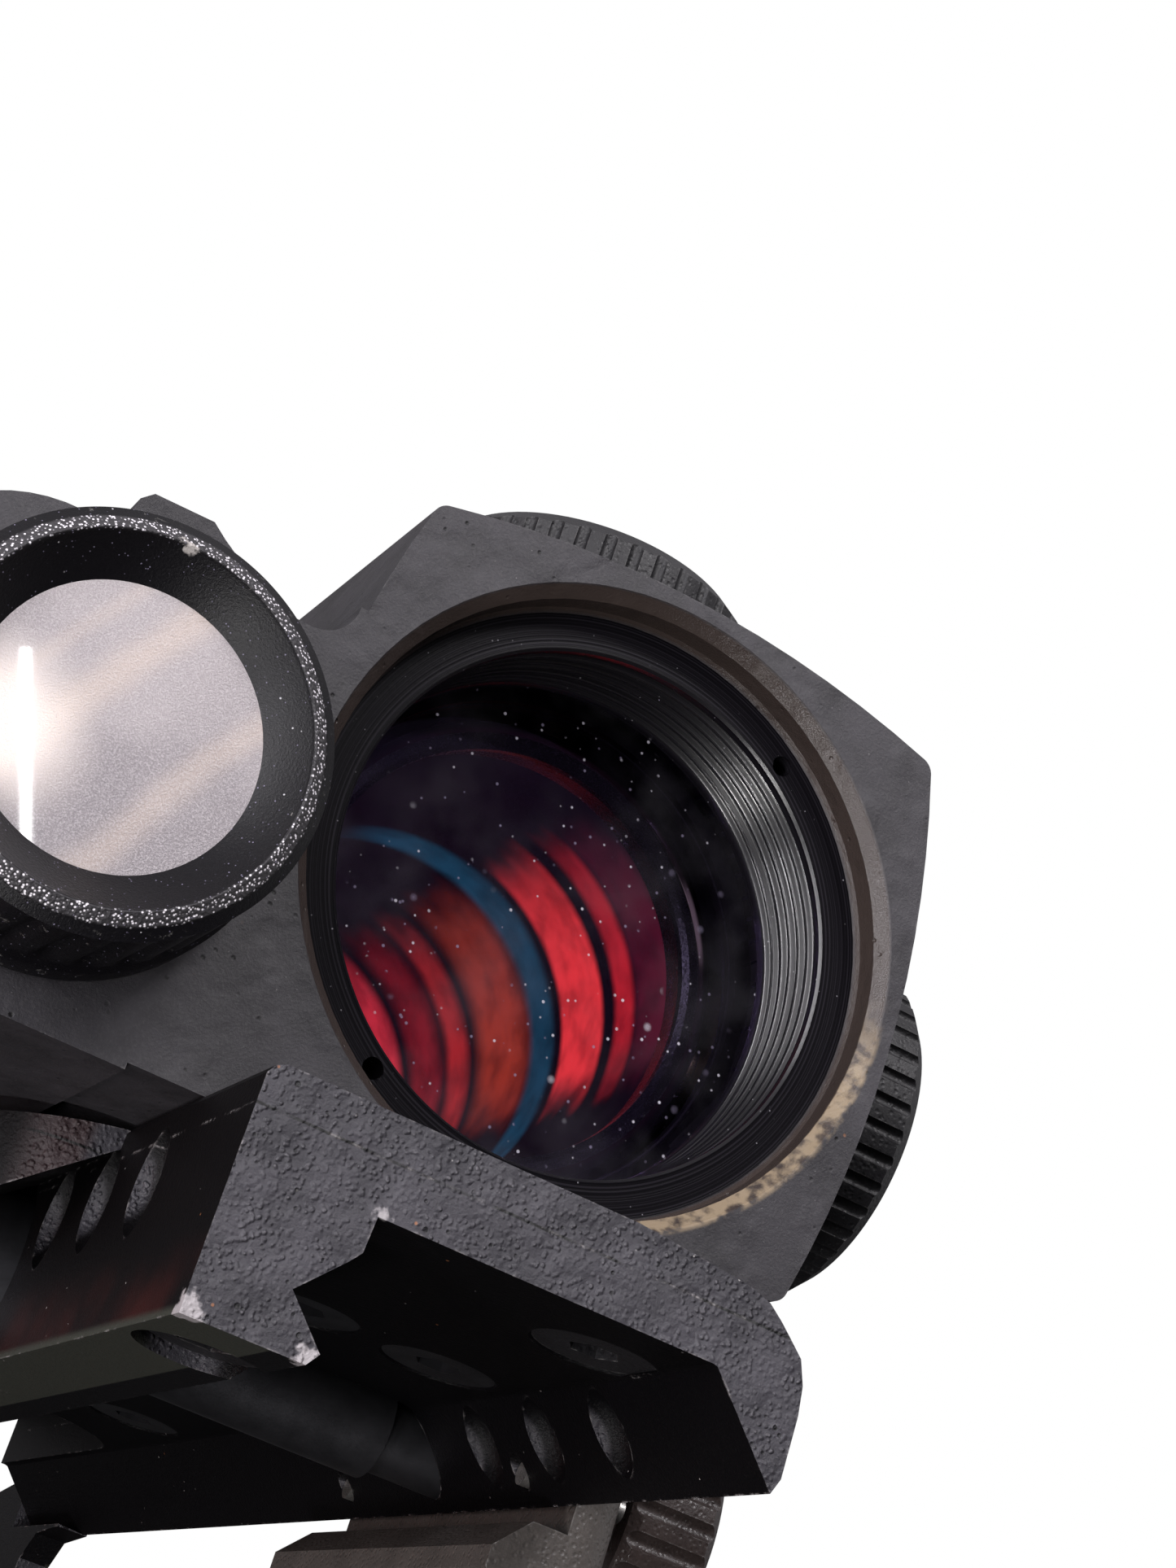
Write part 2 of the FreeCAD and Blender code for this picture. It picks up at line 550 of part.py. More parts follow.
def rear_retaining_ring():
    """Threaded ring with a finely stepped, light-trapping bore and two spanner holes."""
    land = 0.7
    grooves = 6
    pitch = (WINDOW_Y - RING_FACE_Y - 2 * land) / grooves
    profile = [(RING_R, RING_FACE_Y), (RING_INNER_R, RING_FACE_Y)]
    for index in range(grooves):
        start = RING_FACE_Y + land + index * pitch
        profile.append((RING_INNER_R, start))
        profile.append((RING_INNER_R + 0.4, start + pitch / 2))
    profile += [(RING_INNER_R, WINDOW_Y - land), (RING_INNER_R, WINDOW_Y), (RING_R, WINDOW_Y)]
    body = turned(profile, OPTIC)
    holes = []
    for angle in (57.0, 237.0):
        x = SPANNER_RADIUS * math.cos(math.radians(angle))
        y = -SPANNER_RADIUS * math.sin(math.radians(angle))
        holes.append(disc(0.5, RING_FACE_Y - 1, RING_FACE_Y + 1.5, OPTIC, x, y))
    return body.cut(holes)


def rear_window():
    return disc(WINDOW_R, WINDOW_Y, WINDOW_Y + WINDOW_THICK, OPTIC)


def rear_window_seal():
    return ring(WINDOW_R, WINDOW_R - 0.9, SEAT_Y - SEAL_THICK, SEAT_Y, OPTIC)


def radial(shape, angle):
    """Turn a shape built along local X about the sight line; angle is counted from +X towards +Z."""
    turned_shape = shape.copy()
    turned_shape.rotate(V(0, 0, 0), V(0, 0, 1), -angle)
    return placed(turned_shape, OPTIC)


def inner_tube():
    """Erector tube that carries the emitter and the collimating lens."""
    profile = [(TUBE_R, TUBE_START_Y), (TUBE_R, TUBE_END_Y), (STOP_SEAT_R, TUBE_END_Y),
               (STOP_SEAT_R, LENS_SEAT_Y), (TUBE_BORE_R - 0.5, LENS_SEAT_Y),
               (TUBE_BORE_R - 0.5, LENS_SEAT_Y - 1),
               (TUBE_BORE_R, LENS_SEAT_Y - 1), (TUBE_BORE_R, TUBE_START_Y + 2.5),
               (STOP_SEAT_R, TUBE_START_Y + 2.5), (STOP_SEAT_R, TUBE_START_Y)]
    body = turned(profile, OPTIC)
    window = Part.makeBox(4.0, 5.0, LED_LENGTH, V(9.0, -2.5, LED_Y))
    pin_holes = cross_pins(PIVOT_PIN_R + RUNNING, TUBE_BORE_R - 1, TUBE_R + 1, Rotation())
    return body.cut([radial(window, LED_ANGLE)] + pin_holes)


def led_holder():
    """Small block set in the wall of the inner tube."""
    body = Part.makeBox(2.2, 4.8, LED_LENGTH, V(8.7, -2.4, LED_Y))
    return radial(body, LED_ANGLE)


def led_emitter():
    body = Part.makeBox(0.9, 1.8, 0.6, V(9.0, -0.9, LED_Y + LED_LENGTH))
    return radial(body, LED_ANGLE)


def led_wires():
    """Two thin wires from the control board to the emitter, along the wall of the housing."""
    wires = []
    for side in (-1, 1):
        rise_z = BATTERY_Z + 0.45 * side
        wall_r = CAVITY_R - WIRE_R - 0.02
        x = -math.sqrt(wall_r ** 2 - (AXIS_Z - rise_z) ** 2)
        start_x = BATTERY_X + 6.0
        route = [V(start_x, BOARD_Y + 1.0, rise_z), V(start_x, CHANNEL_Y, rise_z),
                 V(x, CHANNEL_Y, rise_z), V(x, LED_Y + 2.0, rise_z)]
        wires.append(round_wire(route, WIRE_R))
    return group(wires)


def round_wire(route, radius):
    """Round bar along straight runs, with a ball at each bend."""
    pieces = []
    for start, end in zip(route, route[1:]):
        pieces.append(Part.makeCylinder(radius, (end - start).Length, start, end - start))
    for bend in route[1:-1]:
        pieces.append(Part.makeSphere(radius, bend))
    return pieces[0].fuse(pieces[1:])


def field_stop_ring():
    return turned([(STOP_SEAT_R, TUBE_START_Y + 0.1), (STOP_SEAT_R, TUBE_START_Y + 2.5),
                   (TUBE_BORE_R, TUBE_START_Y + 2.5), (TUBE_BORE_R - 0.3, TUBE_START_Y + 0.7),
                   (TUBE_BORE_R - 0.3, TUBE_START_Y + 0.3), (TUBE_BORE_R, TUBE_START_Y + 0.1)], OPTIC)


def lens_blank(radius, y0, y1, front_sag, back_sag):
    """Round lens with spherical faces; a positive sag bulges towards +Y."""
    edges = []
    back_mid = V(0, 0, y0 + back_sag)
    front_mid = V(0, 0, y1 + front_sag)
    back_rim = V(radius, 0, y0)
    front_rim = V(radius, 0, y1)
    edges.append(arc_or_line(back_mid, back_rim, back_sag))
    edges.append(Part.makeLine(back_rim, front_rim))
    edges.append(arc_or_line(front_rim, front_mid, front_sag))
    edges.append(Part.makeLine(front_mid, back_mid))
    face = Part.Face(Part.Wire(Part.__sortEdges__(edges)))
    return placed(face.revolve(V(0, 0, 0), V(0, 0, 1), 360), OPTIC)


def arc_or_line(start, end, sag):
    """Edge of a lens section: an arc whose centre is on the axis, or a line if it is flat."""
    if sag == 0:
        return Part.makeLine(start, end)
    rim = start if start.x > 0 else end
    mid = end if start.x > 0 else start
    ball_r = (rim.x ** 2 + sag ** 2) / (2 * abs(sag))
    centre_z = mid.z - math.copysign(ball_r, sag)
    half_x = rim.x / 2
    half_z = centre_z + math.copysign(math.sqrt(ball_r ** 2 - half_x ** 2), sag)
    return Part.Arc(start, V(half_x, 0, half_z), end).toShape()


def collimator_rear_element():
    return lens_blank(STOP_SEAT_R, LENS_SEAT_Y, LENS_SEAT_Y + 2.6, 0.7, 0.9)


def collimator_front_element():
    return lens_blank(STOP_SEAT_R, LENS_SEAT_Y + 2.6, LENS_SEAT_Y + 4.6, 0.5, 0.7)


def collimator_ring():
    return ring(STOP_SEAT_R, 9.7, LENS_SEAT_Y + 4.7, LENS_SEAT_Y + 7.0, OPTIC)


def cross_pins(radius, start, end, rotation):
    """Two round pins on one tilt axis, one on each side of the sight line."""
    place = Placement(V(0, PIVOT_Y, AXIS_Z), rotation)
    return [disc(radius, start, end, place), disc(radius, -end, -start, place)]


def pivot_pins():
    """The outer pair turns in the housing, the inner pair in the inner tube; the ring holds all four."""
    outer_pair = cross_pins(PIVOT_PIN_R, OUTER_PIN_START, OUTER_PIN_START + PIVOT_PIN_LENGTH, ALONG_X)
    inner_pair = cross_pins(PIVOT_PIN_R, INNER_PIN_START, INNER_PIN_START + PIVOT_PIN_LENGTH, Rotation())
    return group(outer_pair + inner_pair)


def tube_pivot_ring():
    """Gimbal ring that lets the inner tube tilt both ways about its far end."""
    inner = TUBE_R + RUNNING
    outer = CAVITY_R - RUNNING
    near = PIVOT_Y - 1.5
    far = PIVOT_Y + 1.5
    body = turned([(inner, near), (outer - 0.2, near), (outer, near + 0.3), (outer, far - 0.3),
                   (outer - 0.2, far), (inner, far)], OPTIC)
    outer_holes = cross_pins(PIVOT_PIN_R, OUTER_PIN_START, CAVITY_R + 1, ALONG_X)
    inner_holes = cross_pins(PIVOT_PIN_R, TUBE_BORE_R, INNER_PIN_START + PIVOT_PIN_LENGTH, Rotation())
    return body.cut(outer_holes + inner_holes)


def tube_return_spring():
    """Bowed leaf that pushes the inner tube against both adjusters."""
    y0, y1 = 42.0, 68.0
    high, low, thickness = 12.08, 11.5, 0.2
    middle = (y0 + y1) / 2
    outer_arc = Part.Arc(V(high, 0, y0), V(low, 0, middle), V(high, 0, y1)).toShape()
    inner_arc = Part.Arc(V(high - thickness, 0, y0), V(low - thickness, 0, middle),
                         V(high - thickness, 0, y1)).toShape()
    caps = [Part.makeLine(V(high, 0, y), V(high - thickness, 0, y)) for y in (y0, y1)]
    face = Part.Face(Part.Wire(Part.__sortEdges__([outer_arc, inner_arc] + caps)))
    strip = face.extrude(V(0, 4.6, 0))
    strip.translate(V(0, -2.3, 0))
    return radial(strip, SPRING_ANGLE)


def front_window_seal():
    return ring(FRONT_WINDOW_R, FRONT_WINDOW_R - 0.9, FRONT_SEAT_Y, FRONT_SEAT_Y + 0.7, OPTIC)


def front_window():
    return disc(FRONT_WINDOW_R, FRONT_SEAT_Y + 0.7, FRONT_RING_Y, OPTIC)


def front_retaining_ring():
    body = ring(RING_R, 11.9, FRONT_RING_Y, FRONT_RING_Y + RING_THICK, OPTIC)
    face_y = FRONT_RING_Y + RING_THICK
    holes = [disc(0.5, face_y - 1.2, face_y + 1, OPTIC, x=SPANNER_RADIUS * side) for side in (-1, 1)]
    return body.cut(holes)


# ---- turrets: each one is built once and placed on both axes ----
def turret_cap(place):
    cap_end = WINDAGE_CAP_END if place is WINDAGE else ELEVATION_CAP_END
    thread_r = NECK_R + RUNNING
    seal_pocket_r = NECK_R + 0.9
    profile = [(seal_pocket_r, CAP_START), (CAP_R - 0.4, CAP_START), (CAP_R, CAP_START + 0.4),
               (CAP_R, cap_end - 0.9), (CAP_R - 0.9, cap_end), (0, cap_end), (0, cap_end - 1.4),
               (thread_r, cap_end - 1.4), (thread_r, CAP_START + 0.9),
               (seal_pocket_r, CAP_START + 0.9)]
    return grooved(turned(profile, place), 40, 0.34, CAP_R + 0.08, CAP_START + 0.7, cap_end + 1, place)


def turret_cap_seal(place):
    seal = Part.makeTorus(NECK_R + RUNNING + 0.4, 0.38, V(0, 0, CAP_START + 0.5))
    return placed(seal, place)


def turret_bushing(place):
    """Fixed bushing: a D-shaped guide for the plunger below, a round bore for the dial's stem above."""
    body = disc(BUSHING_R, 12.75, NECK_START + 0.2, place)
    guide = d_rod(PLUNGER_R + RUNNING, PLUNGER_FLAT + RUNNING, 12.0, 14.55, place)
    return body.cut([guide, disc(STEM_R + RUNNING, 14.5, 17.0, place)])


def d_rod(radius, flat, start, end, place):
    """Round rod with one flat side."""
    rod = Part.makeCylinder(radius, end - start, V(0, 0, start))
    side = Part.makeBox(4 * radius, 4 * radius, end - start + 2, V(flat, -2 * radius, start - 1))
    return placed(rod.cut(side), place)


def turret_plunger(place):
    """Keyed plunger that the adjuster's screw drives against the inner tube."""
    rod = d_rod(PLUNGER_R, PLUNGER_FLAT, TUBE_R + 0.08, 14.0, place)
    return rod.cut(disc(SCREW_TIP_R + RUNNING, 12.2, 15.0, place))


def turret_adjuster(place):
    """Slotted dial, stem and screw tip in one piece."""
    flange_start = NECK_START + 0.25
    profile = [(0, 12.9), (SCREW_TIP_R, 12.9), (SCREW_TIP_R, 14.6), (STEM_R, 14.6),
               (STEM_R, flange_start), (5.2, flange_start), (5.2, flange_start + 0.7),
               (4.2, flange_start + 0.7), (4.2, 18.3), (0, 18.3)]
    slot = placed(Part.makeBox(7.0, 1.1, 2.0, V(-3.5, -0.55, 17.4)), place)
    body = turned(profile, place).cut(slot)
    return grooved(body, 24, 0.25, 4.25, 17.2, 19.0, place)


def turret_clip(place):
    """Threaded ring that keeps the adjuster down."""
    return ring(NECK_BORE_R, 4.3, NECK_START + 1.0, NECK_START + 1.6, place)


# ---- brightness dial, switch and battery ----


def brightness_dial():
    """Rotary dial with a dished face, leaning ribs and a smooth skirt."""
    profile = [(0, DISC_Y + 0.6), (DISC_R, DISC_Y + 0.6), (DISC_R, DISC_Y),
               (7.45, DIAL_FRONT_Y + 0.15),
               (7.6, DIAL_FRONT_Y), (7.95, DIAL_FRONT_Y + 0.05), (8.35, DIAL_FRONT_Y + 0.5),
               (DIAL_R, DIAL_FRONT_Y + 0.9), (DIAL_R, 6.6), (8.9, 6.9), (8.9, DIAL_BACK_Y),
               (7.6, DIAL_BACK_Y), (7.6, 7.6), (3.0, 7.6), (3.0, 5.0), (0, 5.0)]
    body = turned(profile, BATTERY)
    body = body.cut(disc(1.2, DIAL_FRONT_Y, 6.0, BATTERY))
    return grooved(body, 36, 0.42, DIAL_R + 0.12, DIAL_FRONT_Y - 0.5, 6.5, BATTERY, lean=24.0)


def dial_disc():
    return disc(DISC_R, DISC_Y, DISC_Y + 0.6, BATTERY)


def dial_shaft():
    """Shaft from the dial to the switch, with a clip groove and a flat tip."""
    profile = [(0, 5.0), (SHAFT_R, 5.0), (SHAFT_R, 11.1), (1.8, 11.1), (1.8, 11.7), (SHAFT_R, 11.7),
               (SHAFT_R, 15.0), (0, 15.0)]
    return turned(profile, BATTERY)


def dial_screw():
    """Screw under the disc that holds the dial on its shaft."""
    return disc(1.2, DISC_Y + 0.65, 5.0, BATTERY)


def dial_seal():
    return placed(Part.makeTorus(SHAFT_R + RUNNING + 0.45, 0.42, V(0, 0, REAR_Y + 0.6)), BATTERY)


def dial_clip():
    clip = ring(3.6, 1.8 + 0.02, 11.15, 11.65, BATTERY)
    gap = placed(Part.makeBox(5.0, 2.6, 2.0, V(0, -1.3, 10.5)), BATTERY)
    return clip.cut(gap)


def detent_ball():
    return placed(Part.makeSphere(BALL_R, V(0, DETENT_RADIUS, REAR_Y + 0.35)), BATTERY)


def detent_spring():
    place = BATTERY.multiply(Placement(V(0, DETENT_RADIUS, 0), Rotation()))
    return coil(0.5, 0.1, REAR_Y + 1.16, REAR_Y + 1.6, 1.5, place)


def rotary_switch():
    body = disc(BATTERY_BAY_R - 0.1, SWITCH_Y, BOARD_Y - 0.2, BATTERY)
    return body.cut(disc(SHAFT_R + RUNNING, SWITCH_Y - 1, 15.2, BATTERY))


def control_board():
    return disc(BATTERY_BAY_R - 0.1, BOARD_Y, BOARD_Y + 0.8, BATTERY)


def contact_holder():
    body = disc(BATTERY_BAY_R - 0.05, HOLDER_Y, CONTACT_Y, BATTERY)
    return body.cut(disc(2.0, HOLDER_Y + 1.2, CONTACT_Y + 1, BATTERY))


def battery_contact():
    """Brass button contact with a stud in its holder."""
    return disc(2.0, HOLDER_Y + 1.2, CONTACT_Y, BATTERY).fuse(
        disc(3.2, CONTACT_Y, CELL_Y, BATTERY)).removeSplitter()


def battery_cell():
    profile = [(0, CELL_Y), (2.6, CELL_Y), (2.6, CELL_Y + 1.2), (CELL_R - 0.3, CELL_Y + 1.2),
               (CELL_R, CELL_Y + 1.6), (CELL_R, CELL_Y + CELL_LENGTH - 0.5),
               (CELL_R - 0.5, CELL_Y + CELL_LENGTH), (0, CELL_Y + CELL_LENGTH)]
    return turned(profile, BATTERY)


def battery_spring():
    return coil(4.0, 0.35, CELL_Y + CELL_LENGTH, BATTERY_CAP_FLOOR_Y, 3.0, BATTERY)


def battery_cap():
    thread_r = BATTERY_THREAD_R - RUNNING
    profile = [(6.2, BATTERY_CAP_START_Y), (thread_r, BATTERY_CAP_START_Y),
               (thread_r, BATTERY_SEAL_Y - 0.5),
               (thread_r - 0.9, BATTERY_SEAL_Y - 0.5), (thread_r - 0.9, BATTERY_SEAL_Y + 0.5),
               (thread_r, BATTERY_SEAL_Y + 0.5), (thread_r, BATTERY_CAP_FLANGE_Y),
               (BATTERY_CAP_R, BATTERY_CAP_FLANGE_Y), (BATTERY_CAP_R, BATTERY_CAP_END_Y - 1.0),
               (BATTERY_CAP_R - 1.0, BATTERY_CAP_END_Y), (0, BATTERY_CAP_END_Y), (0, BATTERY_CAP_FLOOR_Y),
               (6.2, BATTERY_CAP_FLOOR_Y)]
    body = grooved(turned(profile, BATTERY), 32, 0.4, BATTERY_CAP_R + 0.1, BATTERY_CAP_FLANGE_Y + 1.0,
                   BATTERY_CAP_END_Y + 1, BATTERY)
    slot = placed(Part.makeBox(12.0, 1.6, 3.0, V(-6.0, -0.8, BATTERY_CAP_END_Y - 1.2)), BATTERY)
    return body.cut(slot)


def battery_cap_seal():
    return placed(Part.makeTorus(BATTERY_THREAD_R - RUNNING - 0.43, 0.4, V(0, 0, BATTERY_SEAL_Y)), BATTERY)


# ---- write one file per piece ----
PIECES = {
    "housing": housing, "riser_plate": riser_plate, "mount_base": mount_base,
    "base_screws": base_screws, "housing_screws": housing_screws,
    "cross_bolt": cross_bolt, "clamp_jaw": clamp_jaw, "jaw_guide_pins": jaw_guide_pins,
    "jaw_springs": jaw_springs, "nut_washer": nut_washer, "thumb_nut": thumb_nut,
    "rear_retaining_ring": rear_retaining_ring, "rear_window": rear_window,
    "rear_window_seal": rear_window_seal, "inner_tube": inner_tube, "led_holder": led_holder,
    "led_emitter": led_emitter, "led_wires": led_wires, "field_stop_ring": field_stop_ring,
    "collimator_rear_element": collimator_rear_element,
    "collimator_front_element": collimator_front_element, "collimator_ring": collimator_ring,
    "tube_pivot_ring": tube_pivot_ring, "pivot_pins": pivot_pins,
    "tube_return_spring": tube_return_spring,
    "front_window_seal": front_window_seal, "front_window": front_window,
    "front_retaining_ring": front_retaining_ring,
    "brightness_dial": brightness_dial, "dial_disc": dial_disc, "dial_shaft": dial_shaft,
    "dial_screw": dial_screw, "dial_seal": dial_seal, "dial_clip": dial_clip,
    "detent_ball": detent_ball, "detent_spring": detent_spring, "rotary_switch": rotary_switch,
    "control_board": control_board, "contact_holder": contact_holder,
    "battery_contact": battery_contact, "battery_cell": battery_cell,
    "battery_spring": battery_spring, "battery_cap": battery_cap, "battery_cap_seal": battery_cap_seal,
}
TURRET_PIECES = {
    "cap": turret_cap, "cap_seal": turret_cap_seal, "bushing": turret_bushing,
    "plunger": turret_plunger, "adjuster": turret_adjuster, "clip": turret_clip,
}

os.makedirs("parts", exist_ok=True)
for node, make in PIECES.items():
    make().exportStep("parts/" + node + ".step")
for turret_name, turret_place in (("elevation", ELEVATION), ("windage", WINDAGE)):
    for node, make in TURRET_PIECES.items():
        make(turret_place).exportStep("parts/" + turret_name + "_" + node + ".step")
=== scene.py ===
import json
import math

import bmesh
import bpy
from mathutils import Matrix, Vector

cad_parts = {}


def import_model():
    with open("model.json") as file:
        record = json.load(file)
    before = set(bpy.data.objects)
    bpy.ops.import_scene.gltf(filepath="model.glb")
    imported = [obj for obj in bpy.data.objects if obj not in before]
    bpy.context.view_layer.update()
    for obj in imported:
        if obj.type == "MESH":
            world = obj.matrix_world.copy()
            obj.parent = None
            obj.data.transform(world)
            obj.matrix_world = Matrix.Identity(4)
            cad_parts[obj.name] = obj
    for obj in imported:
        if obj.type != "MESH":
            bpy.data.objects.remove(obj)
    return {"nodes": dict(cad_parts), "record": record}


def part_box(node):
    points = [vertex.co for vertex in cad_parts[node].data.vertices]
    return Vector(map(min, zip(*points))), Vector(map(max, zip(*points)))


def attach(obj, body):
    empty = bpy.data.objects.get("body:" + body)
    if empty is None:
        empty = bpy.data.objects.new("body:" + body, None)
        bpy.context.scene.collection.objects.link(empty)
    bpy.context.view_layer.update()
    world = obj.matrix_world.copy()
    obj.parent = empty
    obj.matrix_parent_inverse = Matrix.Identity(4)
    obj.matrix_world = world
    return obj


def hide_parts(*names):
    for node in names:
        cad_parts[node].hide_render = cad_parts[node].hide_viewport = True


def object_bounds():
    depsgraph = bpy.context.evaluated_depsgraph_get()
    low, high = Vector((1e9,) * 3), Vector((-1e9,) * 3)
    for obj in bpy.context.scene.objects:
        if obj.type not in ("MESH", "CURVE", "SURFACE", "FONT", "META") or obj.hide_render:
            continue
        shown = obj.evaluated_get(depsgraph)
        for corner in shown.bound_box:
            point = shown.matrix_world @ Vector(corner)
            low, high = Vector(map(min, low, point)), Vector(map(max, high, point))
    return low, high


# The looks of a compact tube finder scope. Lengths are in metres in the CAD frame:
# +X right as seen by the eye, +Y forward along the sight line, +Z up, origin on the rail's top plane.

MM = 0.001

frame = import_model()
cad_low, cad_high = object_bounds()
NODES = frame["nodes"]


# ---- places read from the CAD ----
def centre(node):
    low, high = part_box(node)
    return (low + high) / 2


def half_width(node):
    low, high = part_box(node)
    return (high.x - low.x) / 2


SIGHT = centre("rear_window")        # on the sight line
DIAL = centre("brightness_dial")
DIAL_LOW, DIAL_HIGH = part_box("brightness_dial")
DIAL_R = half_width("brightness_dial")
DISC_LOW, DISC_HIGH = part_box("dial_disc")
DISC_R = half_width("dial_disc")
FLOOR_Z = cad_low.z - 0.05 * MM      # just under the lowest point

# ---- named sizes, in mm and degrees; angles run about the sight line from +X towards +Z ----
# The housing's mouth and the retaining ring in it.
RING_SINK = 2.1                      # how deep the ring sits behind the housing's face
MOUTH_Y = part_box("rear_retaining_ring")[0].y / MM - RING_SINK
MOUTH_R = 14.7                       # outer edge of the mouth's lip
WORN_LIP = (-92.0, -2.0)             # angles between which the lip is worn
RING_WIDTH = 1.8                     # from the ring's outside to its bore
RING_BEVEL = 0.12
RING_LAND = 0.55                     # plain bore before and after the grooves
RING_GROOVES = 6
RING_GROOVE_DEPTH = 0.34
RING_MARKS = 9                       # turning marks on its face
RING_MARK_DEPTH = 0.05
SPANNER_ANGLES = (57.0, 237.0)
SPANNER_HOLE_R = 0.5
SPANNER_HOLE_DEPTH = 1.4

# The inner tube and the light on its wall.
TUBE_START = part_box("inner_tube")[0].y / MM
TUBE_WALL_R = 11.0                   # between the tube's bore and its outside
RED_ARC = (2.0, 74.0)                # angles that each light covers
TEAL_ARC = (-38.0, 105.0)
HAZE_ARC = (-70.0, 150.0)
BAND_SLANT = 0.022                   # how far a band runs along the tube for each degree
SLANT_FROM = 30.0

# The dial.
FROST_START, FROST_END = 7.62, 8.22  # radii of the bright bevel round the dial's dish
DISC_THICKNESS = (DISC_HIGH.y - DISC_LOW.y) / MM
DIAL_FLOOR = 2.0                     # thickness of the plate under the disc
DIAL_BORE_R = 1.3
DIAL_HUB_R = 3.0
DIAL_WALL = 1.3
DIAL_SKIRT_STEP = 0.2
DIAL_SKIRT_LENGTH = 2.0
DIAL_GROOVE_DEPTH = 0.34
DIAL_GROOVE_RUN_OUT = 0.5
DIAL_ROWS = 22                       # rows of points along a ridge
DIAL_RIDGES = 32
DIAL_LEAN = 4.0                      # lean of the ridges
BAND_ACROSS = (0.88, -0.48)          # the way across the disc's painted reflections, slanting warm bands, along +X and +Z
DISC_REFLECTION_BANDS = ((-3.9, 0.5, 0.35), (-1.6, 1.0, 0.75), (3.4, 0.9, 0.60))    # painted reflection bands: place, reach, strength
DISC_HIGHLIGHT_SPOT = (-4.2, -1.9)             # middle of the painted warm highlight, along +X and +Z from the disc's middle

# The mount.
UNDERSIDE_Z = -5.2                   # lowest face of the claw
CHANNEL_HALF = 10.76                 # half width of the rail channel
CHANNEL_ROOF_Z = 1.1
SHELF_EDGE_X = -15.5                 # the shelf beside the mount lies left of this
SHEEN_START_Z, SHEEN_FULL_Z = -1.5, -5.5    # heights between which the painted reddish-brown sheen comes onto the outer wall
PLATE_JOINT_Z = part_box("mount_base")[1].z / MM    # where the riser plate lies on the mount
# Pale knocks on its eye-side face: place and size.
KNOCKS = (((-14.4, 0.0, -5.1), 0.75), ((-9.3, 0.0, -5.0), 0.5), ((-8.4, 0.0, 1.1), 0.25))


